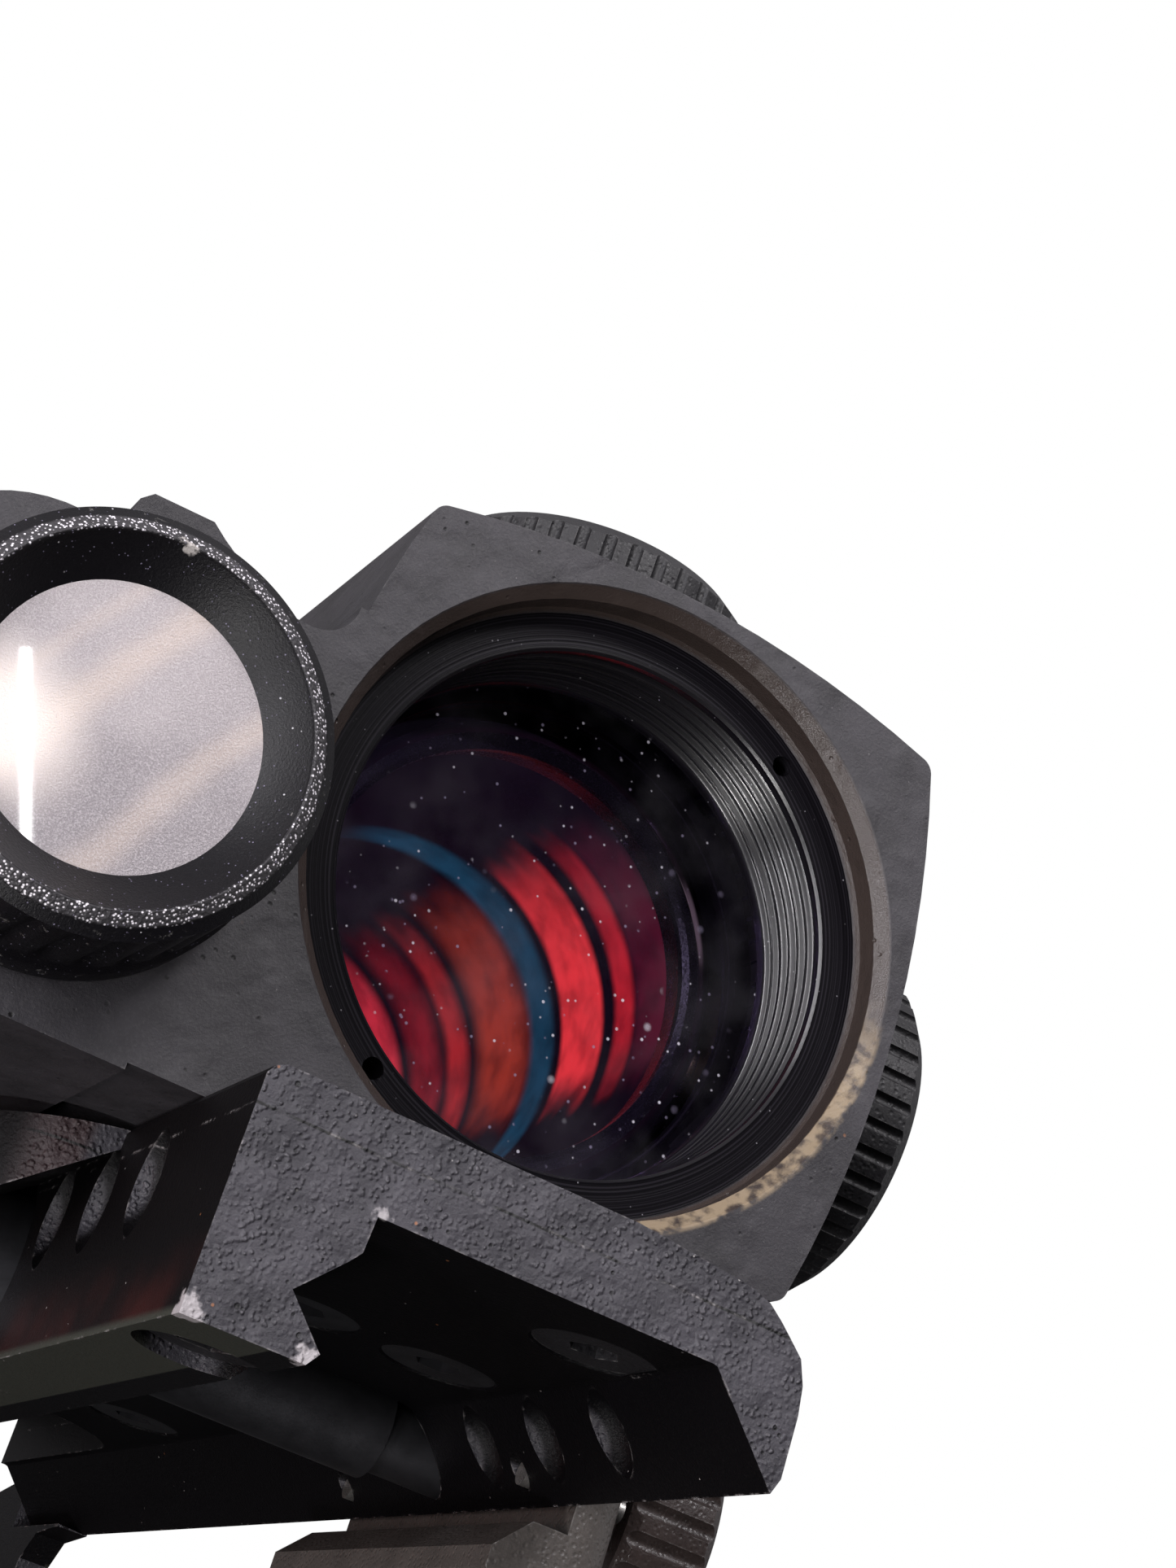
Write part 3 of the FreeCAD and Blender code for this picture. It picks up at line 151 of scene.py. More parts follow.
# ---- shader graphs ----
class Graph:
    """A material's node tree, with short ways to add linked nodes."""

    def __init__(self, name):
        self.material = bpy.data.materials.new(name)
        self.material.use_nodes = True
        self.tree = self.material.node_tree
        self.tree.nodes.clear()
        self.coords = None

    def add(self, kind, settings=None, **inputs):
        node = self.tree.nodes.new(kind)
        for key, value in (settings or {}).items():
            setattr(node, key, value)
        for key, value in inputs.items():
            self.feed(node.inputs[key.replace("_", " ")], value)
        return node

    def feed(self, socket, value):
        if isinstance(value, bpy.types.NodeSocket):
            self.tree.links.new(value, socket)
        else:
            socket.default_value = value

    def math(self, operation, first, second=0.0):
        node = self.tree.nodes.new("ShaderNodeMath")
        node.operation = operation
        self.feed(node.inputs[0], first)
        self.feed(node.inputs[1], second)
        return node.outputs[0]

    def times(self, first, second):
        return self.math("MULTIPLY", first, second)

    def plus(self, first, second):
        return self.math("ADD", first, second)

    def minus(self, first, second):
        return self.math("SUBTRACT", first, second)

    def place(self):
        """The piece's own coordinates, in millimetres."""
        if self.coords is None:
            self.coords = self.tree.nodes.new("ShaderNodeTexCoord")
        scaled = self.tree.nodes.new("ShaderNodeVectorMath")
        scaled.operation = "SCALE"
        self.feed(scaled.inputs[0], self.coords.outputs["Object"])
        scaled.inputs["Scale"].default_value = 1 / MM
        return scaled.outputs[0]

    def facing(self):
        """The three parts of the piece's own surface normal."""
        if self.coords is None:
            self.coords = self.tree.nodes.new("ShaderNodeTexCoord")
        return self.add("ShaderNodeSeparateXYZ", Vector=self.coords.outputs["Normal"]).outputs

    def xyz(self, vector):
        return self.add("ShaderNodeSeparateXYZ", Vector=vector).outputs

    def noise(self, scale, detail=2.0, vector=None, roughness=0.5):
        node = self.add("ShaderNodeTexNoise", Scale=scale, Detail=detail, Roughness=roughness)
        self.feed(node.inputs["Vector"], vector or self.place())
        return node.outputs["Fac"]

    def cells(self, scale, output="Distance", feature="F1", vector=None):
        node = self.add("ShaderNodeTexVoronoi", {"feature": feature}, Scale=scale)
        self.feed(node.inputs["Vector"], vector or self.place())
        return node.outputs[output]

    def specks(self, per_mm, edge, core, patches_per_mm, bare, full):
        """Scattered round specks that gather in patches: edge and core are their radii in cells."""
        dots = self.band(self.cells(per_mm), edge, core)
        return self.times(dots, self.band(self.noise(patches_per_mm), bare, full))

    def band(self, value, start, end, low=0.0, high=1.0, smooth=True):
        """Rises from low to high as value goes from start to end."""
        node = self.tree.nodes.new("ShaderNodeMapRange")
        node.interpolation_type = "SMOOTHSTEP" if smooth else "LINEAR"
        for index, part in enumerate((value, start, end, low, high)):
            self.feed(node.inputs[index], part)
        return node.outputs[0]

    def window(self, value, start, end, soft):
        """One between start and end, zero outside, with soft edges."""
        rise = self.band(value, start - soft, start + soft)
        fall = self.band(value, end - soft, end + soft, 1.0, 0.0)
        return self.times(rise, fall)

    def blend(self, share, first, second):
        node = self.add("ShaderNodeMix", {"data_type": "RGBA"})
        self.feed(node.inputs[0], share)
        for socket, colour in ((node.inputs[6], first), (node.inputs[7], second)):
            self.feed(socket, colour if isinstance(colour, bpy.types.NodeSocket) else rgba(colour))
        return node.outputs[2]

    def add_light(self, first, second):
        node = self.add("ShaderNodeMix", {"data_type": "RGBA", "blend_type": "ADD"})
        for index, part in enumerate((1.0, first, second)):
            self.feed(node.inputs[(0, 6, 7)[index]], part)
        return node.outputs[2]

    def radius_and_angle(self, axis_point):
        """Distance in mm from a line along Y, and the angle about it from +X towards +Z, in degrees."""
        parts = self.xyz(self.place())
        x = self.minus(parts[0], axis_point.x / MM)
        z = self.minus(parts[2], axis_point.z / MM)
        squares = self.plus(self.times(x, x), self.times(z, z))
        radius = self.math("SQRT", squares)
        angle = self.times(self.math("ARCTAN2", z, x), 180 / math.pi)
        return radius, angle, parts[1]

    def edges(self, radius_mm, start=0.04, end=0.35):
        """Near one along outer edges, where paint wears first."""
        rounded = self.add("ShaderNodeBevel", {"samples": 4}, Radius=radius_mm * MM)
        true = self.tree.nodes.new("ShaderNodeNewGeometry")
        dot = self.tree.nodes.new("ShaderNodeVectorMath")
        dot.operation = "DOT_PRODUCT"
        self.feed(dot.inputs[0], rounded.outputs[0])
        self.feed(dot.inputs[1], true.outputs["Normal"])
        return self.band(self.minus(1.0, dot.outputs["Value"]), start, end)

    def bump(self, height, depth_mm, below=None):
        node = self.add("ShaderNodeBump", Distance=depth_mm * MM, Height=height)
        if below is not None:
            self.feed(node.inputs["Normal"], below)
        return node.outputs[0]

    def surface(self, shader):
        output = self.tree.nodes.new("ShaderNodeOutputMaterial")
        self.feed(output.inputs["Surface"], shader)
        return self.material

    def principled(self, colour, roughness, normal=None, metallic=0.0, **more):
        node = self.add("ShaderNodeBsdfPrincipled", Metallic=metallic, Roughness=roughness)
        socket = node.inputs["Base Color"]
        self.feed(socket, colour if isinstance(colour, bpy.types.NodeSocket) else rgba(colour))
        if normal is not None:
            self.feed(node.inputs["Normal"], normal)
        for key, value in more.items():
            self.feed(node.inputs[key.replace("_", " ")], value)
        return node.outputs[0]


def rgba(colour):
    return (colour[0], colour[1], colour[2], 1.0)


# ---- materials ----
def blasted_metal(name, colour, roughness=0.55, grain=0.03, speck=0.4, wear=0.5, worn=(0.34, 0.33, 0.32)):
    """Black coating on blasted metal: fine grain, cloudy tone, pale specks and rubbed edges."""
    g = Graph(name)
    cloud = g.noise(0.35, 4.0)
    fine = g.noise(7.0, 3.0, roughness=0.7)
    pits = g.cells(3.2)
    tone = g.blend(g.band(cloud, 0.3, 0.7), [c * 0.82 for c in colour], [c * 1.2 for c in colour])
    tone = g.blend(g.band(fine, 0.35, 0.8, 0.0, 0.45), tone, [c * 1.9 for c in colour])
    dots = g.specks(1.7, 0.09, 0.03, 0.9, 0.5, 0.72)
    tone = g.blend(g.times(dots, speck), tone, worn)
    rub = g.times(g.edges(0.16), g.band(g.noise(1.6, 4.0, roughness=0.7), 0.4, 0.72))
    tone = g.blend(g.times(rub, wear), tone, worn)
    relief = g.bump(fine, grain, g.bump(g.band(pits, 0.05, 0.5), grain * 1.2))
    rough = g.band(fine, 0.2, 0.8, roughness - 0.1, roughness + 0.12, smooth=False)
    return g.surface(g.principled(tone, rough, relief))


def satin_steel(name, colour, roughness=0.35):
    """Turned bright or blackened steel with fine scratches."""
    g = Graph(name)
    scratch = g.noise(9.0, 4.0, roughness=0.8)
    cloud = g.noise(0.8, 3.0)
    tone = g.blend(g.band(cloud, 0.3, 0.7), [c * 0.75 for c in colour], colour)
    rough = g.band(scratch, 0.2, 0.8, roughness - 0.1, roughness + 0.15, smooth=False)
    return g.surface(g.principled(tone, rough, g.bump(scratch, 0.006), metallic=0.9))


def plastic(name, colour, roughness=0.45, grain=0.01):
    g = Graph(name)
    fine = g.noise(6.0, 3.0)
    tone = g.blend(g.band(g.noise(0.6), 0.3, 0.7), [c * 0.85 for c in colour], [c * 1.15 for c in colour])
    rough = g.band(fine, 0.2, 0.8, roughness - 0.08, roughness + 0.1, smooth=False)
    return g.surface(g.principled(tone, rough, g.bump(fine, grain)))


def coated_glass(name, tint, reflect, dust=0.5):
    """Thin anti-reflection coated glass that lets the view through, with a few specks of dust that glow
    faintly as painted light.
    """
    g = Graph(name)
    clear = g.add("ShaderNodeBsdfTransparent", Color=rgba(tint)).outputs[0]
    shine = g.add("ShaderNodeBsdfGlossy", Color=rgba(reflect), Roughness=0.03).outputs[0]
    fresnel = g.add("ShaderNodeFresnel", IOR=1.45).outputs[0]
    glass = g.add("ShaderNodeMixShader", Fac=fresnel)
    g.feed(glass.inputs[1], clear)
    g.feed(glass.inputs[2], shine)
    small = g.specks(1.25, 0.13, 0.06, 0.9, 0.40, 0.55)
    large = g.specks(0.45, 0.12, 0.03, 0.5, 0.45, 0.60)
    specks = g.math("MAXIMUM", small, g.times(large, 0.55))
    haze = g.plus(g.times(specks, dust), g.band(g.noise(0.25, 5.0), 0.4, 0.8, 0.0, 0.02))
    # painted light: the dust specks glow faintly, so they show though the glass lies in shade
    grey = g.add("ShaderNodeBsdfPrincipled", Base_Color=(0.75, 0.72, 0.80, 1.0), Roughness=0.8,
                 Emission_Color=(0.30, 0.27, 0.34, 1.0), Emission_Strength=0.45).outputs[0]
    dusty = g.add("ShaderNodeMixShader", Fac=haze)
    g.feed(dusty.inputs[1], glass.outputs[0])
    g.feed(dusty.inputs[2], grey)
    return g.surface(dusty.outputs[0])


def silver_disc():
    """Satin silver plate with painted reflections, slanting warm and cool bands and a painted warm highlight,
    under a clear lacquer that mirrors the lamp.
    """
    g = Graph("silver_disc")
    x, _, z = g.xyz(g.place())
    middle = centre("dial_disc") / MM
    right = g.minus(x, middle.x)
    up = g.minus(z, middle.z)
    across = g.plus(g.times(right, BAND_ACROSS[0]), g.times(up, BAND_ACROSS[1]))
    across = g.plus(across, g.times(g.minus(g.noise(0.2, 1.0), 0.5), 1.2))
    cloud = g.noise(0.15, 2.0)
    tone = g.blend(g.band(cloud, 0.35, 0.65), (0.235, 0.215, 0.225), (0.345, 0.315, 0.32))
    # painted reflections: warm bands slanting across the silver
    for place, reach, share in DISC_REFLECTION_BANDS:
        band = g.window(across, place - reach / 3, place + reach / 3, reach)
        tone = g.blend(g.times(band, share), tone, (0.62, 0.50, 0.41))
    # painted highlight: a warm glow round one spot on the disc
    aside = g.minus(right, DISC_HIGHLIGHT_SPOT[0])
    below = g.minus(up, DISC_HIGHLIGHT_SPOT[1])
    away = g.math("SQRT", g.plus(g.times(aside, aside), g.times(below, below)))
    tone = g.blend(g.band(away, 4.5, 0.4, 0.0, 0.85), tone, (0.95, 0.84, 0.76))
    grain = g.noise(11.0, 3.0, roughness=0.8)
    tone = g.blend(g.band(grain, 0.42, 0.66, 0.0, 0.45), tone, (0.60, 0.56, 0.57))
    rough = g.band(grain, 0.3, 0.7, 0.38, 0.55, smooth=False)
    return g.surface(g.principled(tone, rough, g.bump(grain, 0.03), metallic=0.55,
                                  Coat_Weight=0.8, Coat_Roughness=0.02))


def dial_black():
    """Blasted black with painted glints, a bright frosted bevel round the dish and ridges worn at their ends.
    """
    g = Graph("dial_black")
    radius, _, y = g.radius_and_angle(DIAL)
    front = DIAL_LOW.y / MM
    # painted highlights: tiny bluish glints scattered over the black
    glint_specks = g.specks(4.2, 0.17, 0.08, 2.5, 0.42, 0.60)
    fine = g.noise(9.0, 2.0, roughness=0.8)
    tone = g.blend(g.times(glint_specks, 0.55), (0.0034, 0.0030, 0.0042), (0.34, 0.31, 0.44))
    at_front = g.band(y, front + 1.2, front + 0.9)
    bevel = g.times(g.window(radius, FROST_START, FROST_END, 0.05), at_front)
    grain = g.cells(6.5)
    frost = g.band(grain, 0.42, 0.16, 0.04, 1.0)
    tone = g.blend(g.times(bevel, frost), tone, (0.92, 0.88, 0.93))
    chipped = g.band(g.noise(0.42, 5.0, roughness=0.6), 0.665, 0.70)
    nick = g.times(g.window(radius, FROST_START - 0.25, FROST_END + 0.15, 0.1), chipped)
    tone = g.blend(g.times(nick, at_front), tone, (0.42, 0.39, 0.37))
    side = g.band(radius, FROST_END + 0.15, FROST_END + 0.3)
    scuff = g.times(side, g.band(g.noise(1.3, 6.0, roughness=0.8), 0.60, 0.70))
    tone = g.blend(g.times(scuff, 0.6), tone, (0.24, 0.23, 0.22))
    dust = g.specks(1.5, 0.07, 0.045, 0.9, 0.5, 0.6)
    tone = g.blend(g.times(dust, 0.8), tone, (0.55, 0.54, 0.56))
    relief = g.bump(g.times(grain, bevel), 0.06, g.bump(fine, 0.02))
    rough = g.band(fine, 0.2, 0.8, 0.34, 0.5, smooth=False)
    return g.surface(g.principled(tone, rough, relief, Specular_IOR_Level=0.28))


def mount_black():
    """Blasted mount: granular pitted ends with painted highlights on the grains and painted shade in the
    pits, smooth dark walls with a painted reddish-brown sheen low down and on the shelf, painted shade in the
    rail channel, an underside painted a lighter olive as if lit from below, and bright knocks.
    """
    g = Graph("mount_black")
    nx, ny = g.facing()[:2]
    end = g.band(g.math("ABSOLUTE", ny), 0.75, 0.95)
    side = g.band(nx, -0.8, -0.95)
    x, _, z = g.xyz(g.place())
    fine = g.noise(5.5, 4.0, roughness=0.75)
    grains = g.cells(4.4, feature="SMOOTH_F1")
    craters = g.cells(1.45)
    pits = g.math("MAXIMUM", g.band(g.cells(0.75), 0.11, 0.06), g.band(craters, 0.16, 0.05, 0.0, 0.8))
    pits = g.times(pits, g.band(g.noise(0.5, 3.0), 0.36, 0.52))
    cloud = g.noise(0.35, 4.0)
    face = g.blend(g.band(cloud, 0.3, 0.7), (0.026, 0.0245, 0.030), (0.050, 0.047, 0.056))
    # painted highlights on the tops of the grains of the end faces
    grain_highlights = g.times(g.band(grains, 0.30, 0.10), g.band(fine, 0.42, 0.62))
    patchy = g.band(g.noise(0.6, 3.0), 0.35, 0.65, 0.15, 0.75)
    face = g.blend(g.times(grain_highlights, patchy), face, (0.16, 0.152, 0.165))
    # painted shade: the pits made near black
    face = g.blend(pits, face, (0.008, 0.008, 0.009))
    # painted reflection: a reddish-brown sheen on the lower outer wall
    wall_sheen = g.times(g.band(z, SHEEN_START_Z, SHEEN_FULL_Z), g.band(g.noise(0.15, 3.0), 0.35, 0.65))
    wall = g.blend(g.times(side, wall_sheen), (0.0030, 0.0026, 0.0030), (0.036, 0.008, 0.007))
    # painted light: the claw's underside made a lighter olive-grey, as if lit from below
    wall = g.blend(g.band(z, UNDERSIDE_Z + 0.5, UNDERSIDE_Z + 0.1), wall, (0.040, 0.042, 0.034))
    # painted shade: the rail channel under the roof made near black
    under_roof = g.band(z, CHANNEL_ROOF_Z + 0.1, CHANNEL_ROOF_Z)
    channel_shade = g.times(g.window(x, -CHANNEL_HALF, CHANNEL_HALF, 0.05), under_roof)
    wall = g.blend(channel_shade, wall, (0.0022, 0.0020, 0.0026))
    # painted reflection: a reddish-brown sheen on the end faces of the shelf, left of its edge
    face = g.blend(g.band(x, SHELF_EDGE_X, SHELF_EDGE_X - 0.8, 0.0, 0.8), face, (0.030, 0.013, 0.013))
    joint = g.window(z, PLATE_JOINT_Z - 0.06, PLATE_JOINT_Z + 0.06, 0.03)
    face = g.blend(g.times(joint, g.band(g.noise(0.5), 0.3, 0.5)), face, (0.003, 0.003, 0.003))
    tone = g.blend(end, wall, face)
    knock = None
    for spot, size in KNOCKS:
        apart = g.tree.nodes.new("ShaderNodeVectorMath")
        apart.operation = "DISTANCE"
        g.feed(apart.inputs[0], g.place())
        apart.inputs[1].default_value = spot
        near = g.band(g.plus(apart.outputs["Value"], g.times(g.noise(2.2, 4.0), 1.4)),
                      size + 0.85, size + 0.55)
        knock = near if knock is None else g.math("MAXIMUM", knock, near)
    specks = g.specks(1.0, 0.055, 0.035, 0.6, 0.5, 0.6)
    tone = g.blend(g.times(specks, 0.8), tone, (0.40, 0.38, 0.37))
    rust = g.specks(0.7, 0.06, 0.04, 0.4, 0.58, 0.66)
    tone = g.blend(g.times(rust, 0.7), tone, (0.30, 0.12, 0.05))
    rub = g.times(g.edges(0.20), g.band(g.noise(1.1, 5.0, roughness=0.7), 0.50, 0.70))
    tone = g.blend(g.times(rub, 0.8), tone, (0.45, 0.42, 0.42))
    tone = g.blend(g.times(knock, 0.85), tone, (0.42, 0.39, 0.40))
    rise = g.times(g.band(grains, 0.1, 0.5), g.band(patchy, 0.15, 0.75, 0.30, 1.0))
    height = g.minus(g.times(pits, -1.0), rise)
    coarse = g.times(height, g.band(end, 0.0, 1.0, 0.10, 1.0))
    relief = g.bump(fine, 0.05, g.bump(coarse, 0.09))
    rough = g.band(end, 0.0, 1.0, 0.42, 0.50)
    shine = g.band(end, 0.0, 1.0, 0.16, 0.5)
    return g.surface(g.principled(tone, rough, relief, Specular_IOR_Level=shine))


def housing_black():
    """Matte cast housing with pits darkened by painted shade, a glossy lip round the mouth with a painted
    brown sheen, and tan wear at its lower right.
    """
    g = Graph("housing_black")
    radius, angle, y = g.radius_and_angle(SIGHT)
    colour = (0.0265, 0.0245, 0.0285)
    cloud = g.noise(0.28, 5.0, roughness=0.6)
    fine = g.noise(6.5, 4.0, roughness=0.75)
    pits = g.cells(1.15)
    tone = g.blend(g.band(cloud, 0.3, 0.7), [c * 0.72 for c in colour], [c * 1.35 for c in colour])
    tone = g.blend(g.band(fine, 0.45, 0.8, 0.0, 0.5), tone, (0.070, 0.067, 0.068))
    some = g.band(g.noise(0.22, 3.0), 0.42, 0.56)
    # painted shade in some of the pits
    tone = g.blend(g.times(g.band(pits, 0.13, 0.06), some), tone, (0.006, 0.006, 0.006))
    flecks = g.specks(1.9, 0.075, 0.04, 0.8, 0.5, 0.6)
    tone = g.blend(g.times(flecks, 0.6), tone, (0.22, 0.21, 0.21))
    rust = g.specks(0.6, 0.07, 0.04, 0.3, 0.60, 0.66)
    tone = g.blend(g.times(rust, 0.6), tone, (0.26, 0.11, 0.05))
    in_mouth = g.band(y, MOUTH_Y + RING_SINK + 0.1, MOUTH_Y + RING_SINK - 0.2)
    lip = g.times(g.window(radius, MOUTH_R - 0.95, MOUTH_R - 0.05, 0.07), in_mouth)
    # painted reflection: the lip's brown tone stands in for its glossy brown sheen
    tone = g.blend(lip, tone, (0.042, 0.031, 0.027))
    worn = g.window(radius, MOUTH_R - 0.75, MOUTH_R + 0.1, 0.12)
    worn = g.times(worn, g.band(g.noise(1.2, 5.0), 0.36, 0.58))
    low_right = g.window(angle, WORN_LIP[0], WORN_LIP[1], 10.0)
    tan = g.times(g.times(worn, low_right), g.band(y, MOUTH_Y + 0.75, MOUTH_Y + 0.55))
    tone = g.blend(g.times(tan, 0.85), tone, (0.30, 0.23, 0.15))
    rub = g.times(g.edges(0.16), g.band(g.noise(1.4, 4.0, roughness=0.7), 0.5, 0.72))
    tone = g.blend(g.times(rub, 0.45), tone, (0.30, 0.29, 0.29))
    grit = g.bump(fine, 0.035, g.bump(g.times(g.band(pits, 0.03, 0.16), some), 0.06))
    rough = g.band(lip, 0.0, 1.0, 0.56, 0.26)
    return g.surface(g.principled(tone, rough, grit))


# Light that the coated lens throws on the tube's wall: start and end along Y from the tube's near end in
# millimetres, edge softness, colour and strength.
TUBE_BANDS = (
    (-0.2, 0.15, 0.12, (0.60, 0.45, 0.47), 0.30),
    (2.2, 6.0, 0.60, (0.30, 0.015, 0.045), 0.32),
    (6.3, 8.3, 0.42, (0.95, 0.03, 0.04), 0.62),
    (9.8, 14.5, 0.40, (1.00, 0.050, 0.048), 1.15),
    (15.6, 18.4, 0.55, (0.01, 0.10, 0.15), 0.60),
    (18.9, 25.0, 1.20, (0.70, 0.07, 0.025), 0.55),
    (26.6, 29.4, 0.70, (0.85, 0.04, 0.035), 0.55),
    (30.5, 34.6, 1.10, (0.60, 0.02, 0.03), 0.45),
    (36.5, 39.6, 0.95, (1.00, 0.05, 0.07), 0.85),
)


def tube_inside():
    """Black tube wall with the red and teal bands thrown on it by the coated lens."""
    g = Graph("tube_inside")
    radius, angle, y = g.radius_and_angle(SIGHT)
    slant = g.times(g.minus(angle, SLANT_FROM), BAND_SLANT)
    along = g.minus(g.minus(y, TUBE_START), slant)
    lit = g.window(g.plus(angle, g.times(g.noise(0.35, 2.0), 16.0)), RED_ARC[0], RED_ARC[1], 11.0)
    lit = g.times(lit, g.band(angle, 20.0, RED_ARC[1] - 2.0, 1.0, 0.45))
    ring_lit = g.window(angle, TEAL_ARC[0], TEAL_ARC[1], 12.0)
    glow = None
    for start, end, soft, colour, strength in TUBE_BANDS:
        teal = colour[2] > colour[0]
        share = g.times(g.window(along, start, end, soft), ring_lit if teal else lit)
        part = g.blend(g.times(share, strength), (0.0, 0.0, 0.0), colour)
        glow = part if glow is None else g.add_light(glow, part)
    haze = g.blend(g.window(angle, HAZE_ARC[0], HAZE_ARC[1], 40.0), (0.0, 0.0, 0.0), (0.0035, 0.0008, 0.0022))
    glow = g.add_light(glow, haze)
    streak = g.band(g.noise(0.5, 3.0), 0.25, 0.7, 0.6, 1.15)
    inside = g.band(radius, TUBE_WALL_R, TUBE_WALL_R - 0.2)
    relief = g.bump(g.noise(4.0, 3.0), 0.02)
    shader = g.principled((0.004, 0.003, 0.004), 0.40, relief, Specular_IOR_Level=0.0, Emission_Color=glow,
                          Emission_Strength=g.times(streak, inside))
    return g.surface(shader)


def turned_black():
    """Glossy black turned metal with pale dust caught in its grooves."""
    g = Graph("turned_black")
    radius, _, y = g.radius_and_angle(SIGHT)
    marks = g.tree.nodes.new("ShaderNodeTexNoise")
    marks.noise_dimensions = "1D"
    marks.inputs["Scale"].default_value = 9.0
    g.feed(marks.inputs["W"], g.minus(radius, y))
    lines = marks.outputs["Fac"]
    tone = g.blend(g.band(lines, 0.45, 0.7, 0.0, 0.6), (0.004, 0.0036, 0.0048), (0.022, 0.020, 0.025))
    dust = g.times(g.band(g.cells(2.2), 0.10, 0.05), g.band(g.noise(1.0, 3.0), 0.50, 0.62))
    tone = g.blend(g.times(dust, 0.7), tone, (0.34, 0.33, 0.36))
    relief = g.bump(lines, 0.014, g.bump(g.noise(3.0, 3.0), 0.006))
    face = g.band(g.facing()[1], -0.55, -0.9)
    rough = g.band(face, 0.0, 1.0, 0.22, 0.38)
    shine = g.band(face, 0.0, 1.0, 1.0, 0.05)
    return g.surface(g.principled(tone, rough, relief, Specular_IOR_Level=shine))


def floor_white():
    """Pale floor that only the camera sees, from above, so it neither hides nor lights the underside."""
    g = Graph("floor_white")
    tone = g.blend(g.band(g.noise(0.01), 0.3, 0.7), (0.80, 0.80, 0.80), (0.84, 0.84, 0.84))
    solid = g.add("ShaderNodeBsdfDiffuse", Color=tone).outputs[0]
    clear = g.add("ShaderNodeBsdfTransparent", Color=(1.0, 1.0, 1.0, 1.0)).outputs[0]
    back = g.tree.nodes.new("ShaderNodeNewGeometry").outputs["Backfacing"]
    seen = g.tree.nodes.new("ShaderNodeLightPath").outputs["Is Camera Ray"]
    both = g.add("ShaderNodeMixShader", Fac=g.times(seen, g.minus(1.0, back)))
    g.feed(both.inputs[1], clear)
    g.feed(both.inputs[2], solid)
    return g.surface(both.outputs[0])


MAKERS = {
    "housing_black": housing_black,
    "mount_black": mount_black,
    "knob_black": lambda: blasted_metal("knob_black", (0.009, 0.0085, 0.010), 0.50, 0.02, 0.4, 0.5),
    "dial_black": dial_black,
    "disc_silver": silver_disc,
    "steel_dark": lambda: satin_steel("steel_dark", (0.10, 0.10, 0.11), 0.38),
    "steel_bright": lambda: satin_steel("steel_bright", (0.62, 0.60, 0.57), 0.28),
    "seal_rubber": lambda: plastic("seal_rubber", (0.018, 0.018, 0.018), 0.7, 0.02),
    "window_glass": lambda: coated_glass("window_glass", (0.80, 0.76, 0.88), (0.22, 0.16, 0.34)),
    "lens_glass": lambda: coated_glass("lens_glass", (0.34, 0.10, 0.13), (0.30, 0.05, 0.07), 0.1),
    "tube_black": lambda: blasted_metal("tube_black", (0.007, 0.0065, 0.007), 0.24, 0.006, 0.5, 0.4),
    "tube_inside": tube_inside,
    "turned_black": turned_black,
    "jaw_grey": lambda: blasted_metal("jaw_grey", (0.075, 0.066, 0.060), 0.40, 0.03, 0.5, 0.9),
    "nut_brown": lambda: blasted_metal("nut_brown", (0.034, 0.025, 0.023), 0.34, 0.02, 0.5, 0.8),
    "brass": lambda: satin_steel("brass", (0.70, 0.50, 0.22), 0.30),
    "board_green": lambda: plastic("board_green", (0.03, 0.16, 0.07), 0.4),
    "plastic_black": lambda: plastic("plastic_black", (0.03, 0.03, 0.032), 0.45),
    "cell_sleeve": lambda: plastic("cell_sleeve", (0.10, 0.12, 0.18), 0.25),
    "wire_red": lambda: plastic("wire_red", (0.40, 0.03, 0.02), 0.4),
    "emitter_red": lambda: plastic("emitter_red", (0.70, 0.04, 0.03), 0.2),
}
SPECIAL = {
    "inner_tube": "tube_inside",
    "front_retaining_ring": "turned_black",
    "clamp_jaw": "jaw_grey",
    "thumb_nut": "nut_brown",
    "base_screws": "knob_black",
}


MATERIALS = {}


def material(slot):
    """The slot's material, made once."""
    if slot not in MATERIALS:
        MATERIALS[slot] = MAKERS[slot]()
    return MATERIALS[slot]


def dress_cad_nodes():
    """Give every CAD node its finish, through its own material slots."""
    slots = {row["node"]: row["material_slot"] for row in frame["record"]["subparts"]}
    for name, piece in NODES.items():
        for place in piece.material_slots:
            place.material = material(SPECIAL.get(name, slots[name]))


# ---- pieces that need a finer surface than the CAD's ----
def smooth(mesh):
    """Smooth shading, with sharp edges where faces meet at more than 35 degrees."""
    for face in mesh.polygons:
        face.use_smooth = True
    mesh.set_sharp_from_angle(angle=math.radians(35))


def turned_piece(name, profile, axis_point, steps, cut=None):
    """Closed profile of (along Y, radius) in mm swept round a line along Y; cut lowers a point's radius."""
    verts = []
    for step in range(steps):
        turn = 2 * math.pi * step / steps
        for y, radius in profile:
            if cut is not None:
                radius -= cut(y, radius, turn)
            x = axis_point.x + radius * MM * math.cos(turn)
            z = axis_point.z + radius * MM * math.sin(turn)
            verts.append((x, y * MM, z))
    faces = []
    count = len(profile)
    for step in range(steps):
        after = (step + 1) % steps
        for index in range(count):
            other = (index + 1) % count
            faces.append((step * count + index, step * count + other,
                          after * count + other, after * count + index))
    mesh = bpy.data.meshes.new(name)
    mesh.from_pydata(verts, [], faces)
    edit = bmesh.new()
    edit.from_mesh(mesh)
    bmesh.ops.recalc_face_normals(edit, faces=edit.faces)
    edit.to_mesh(mesh)
    edit.free()
    smooth(mesh)
    piece = bpy.data.objects.new(name, mesh)
    bpy.context.scene.collection.objects.link(piece)
    return piece


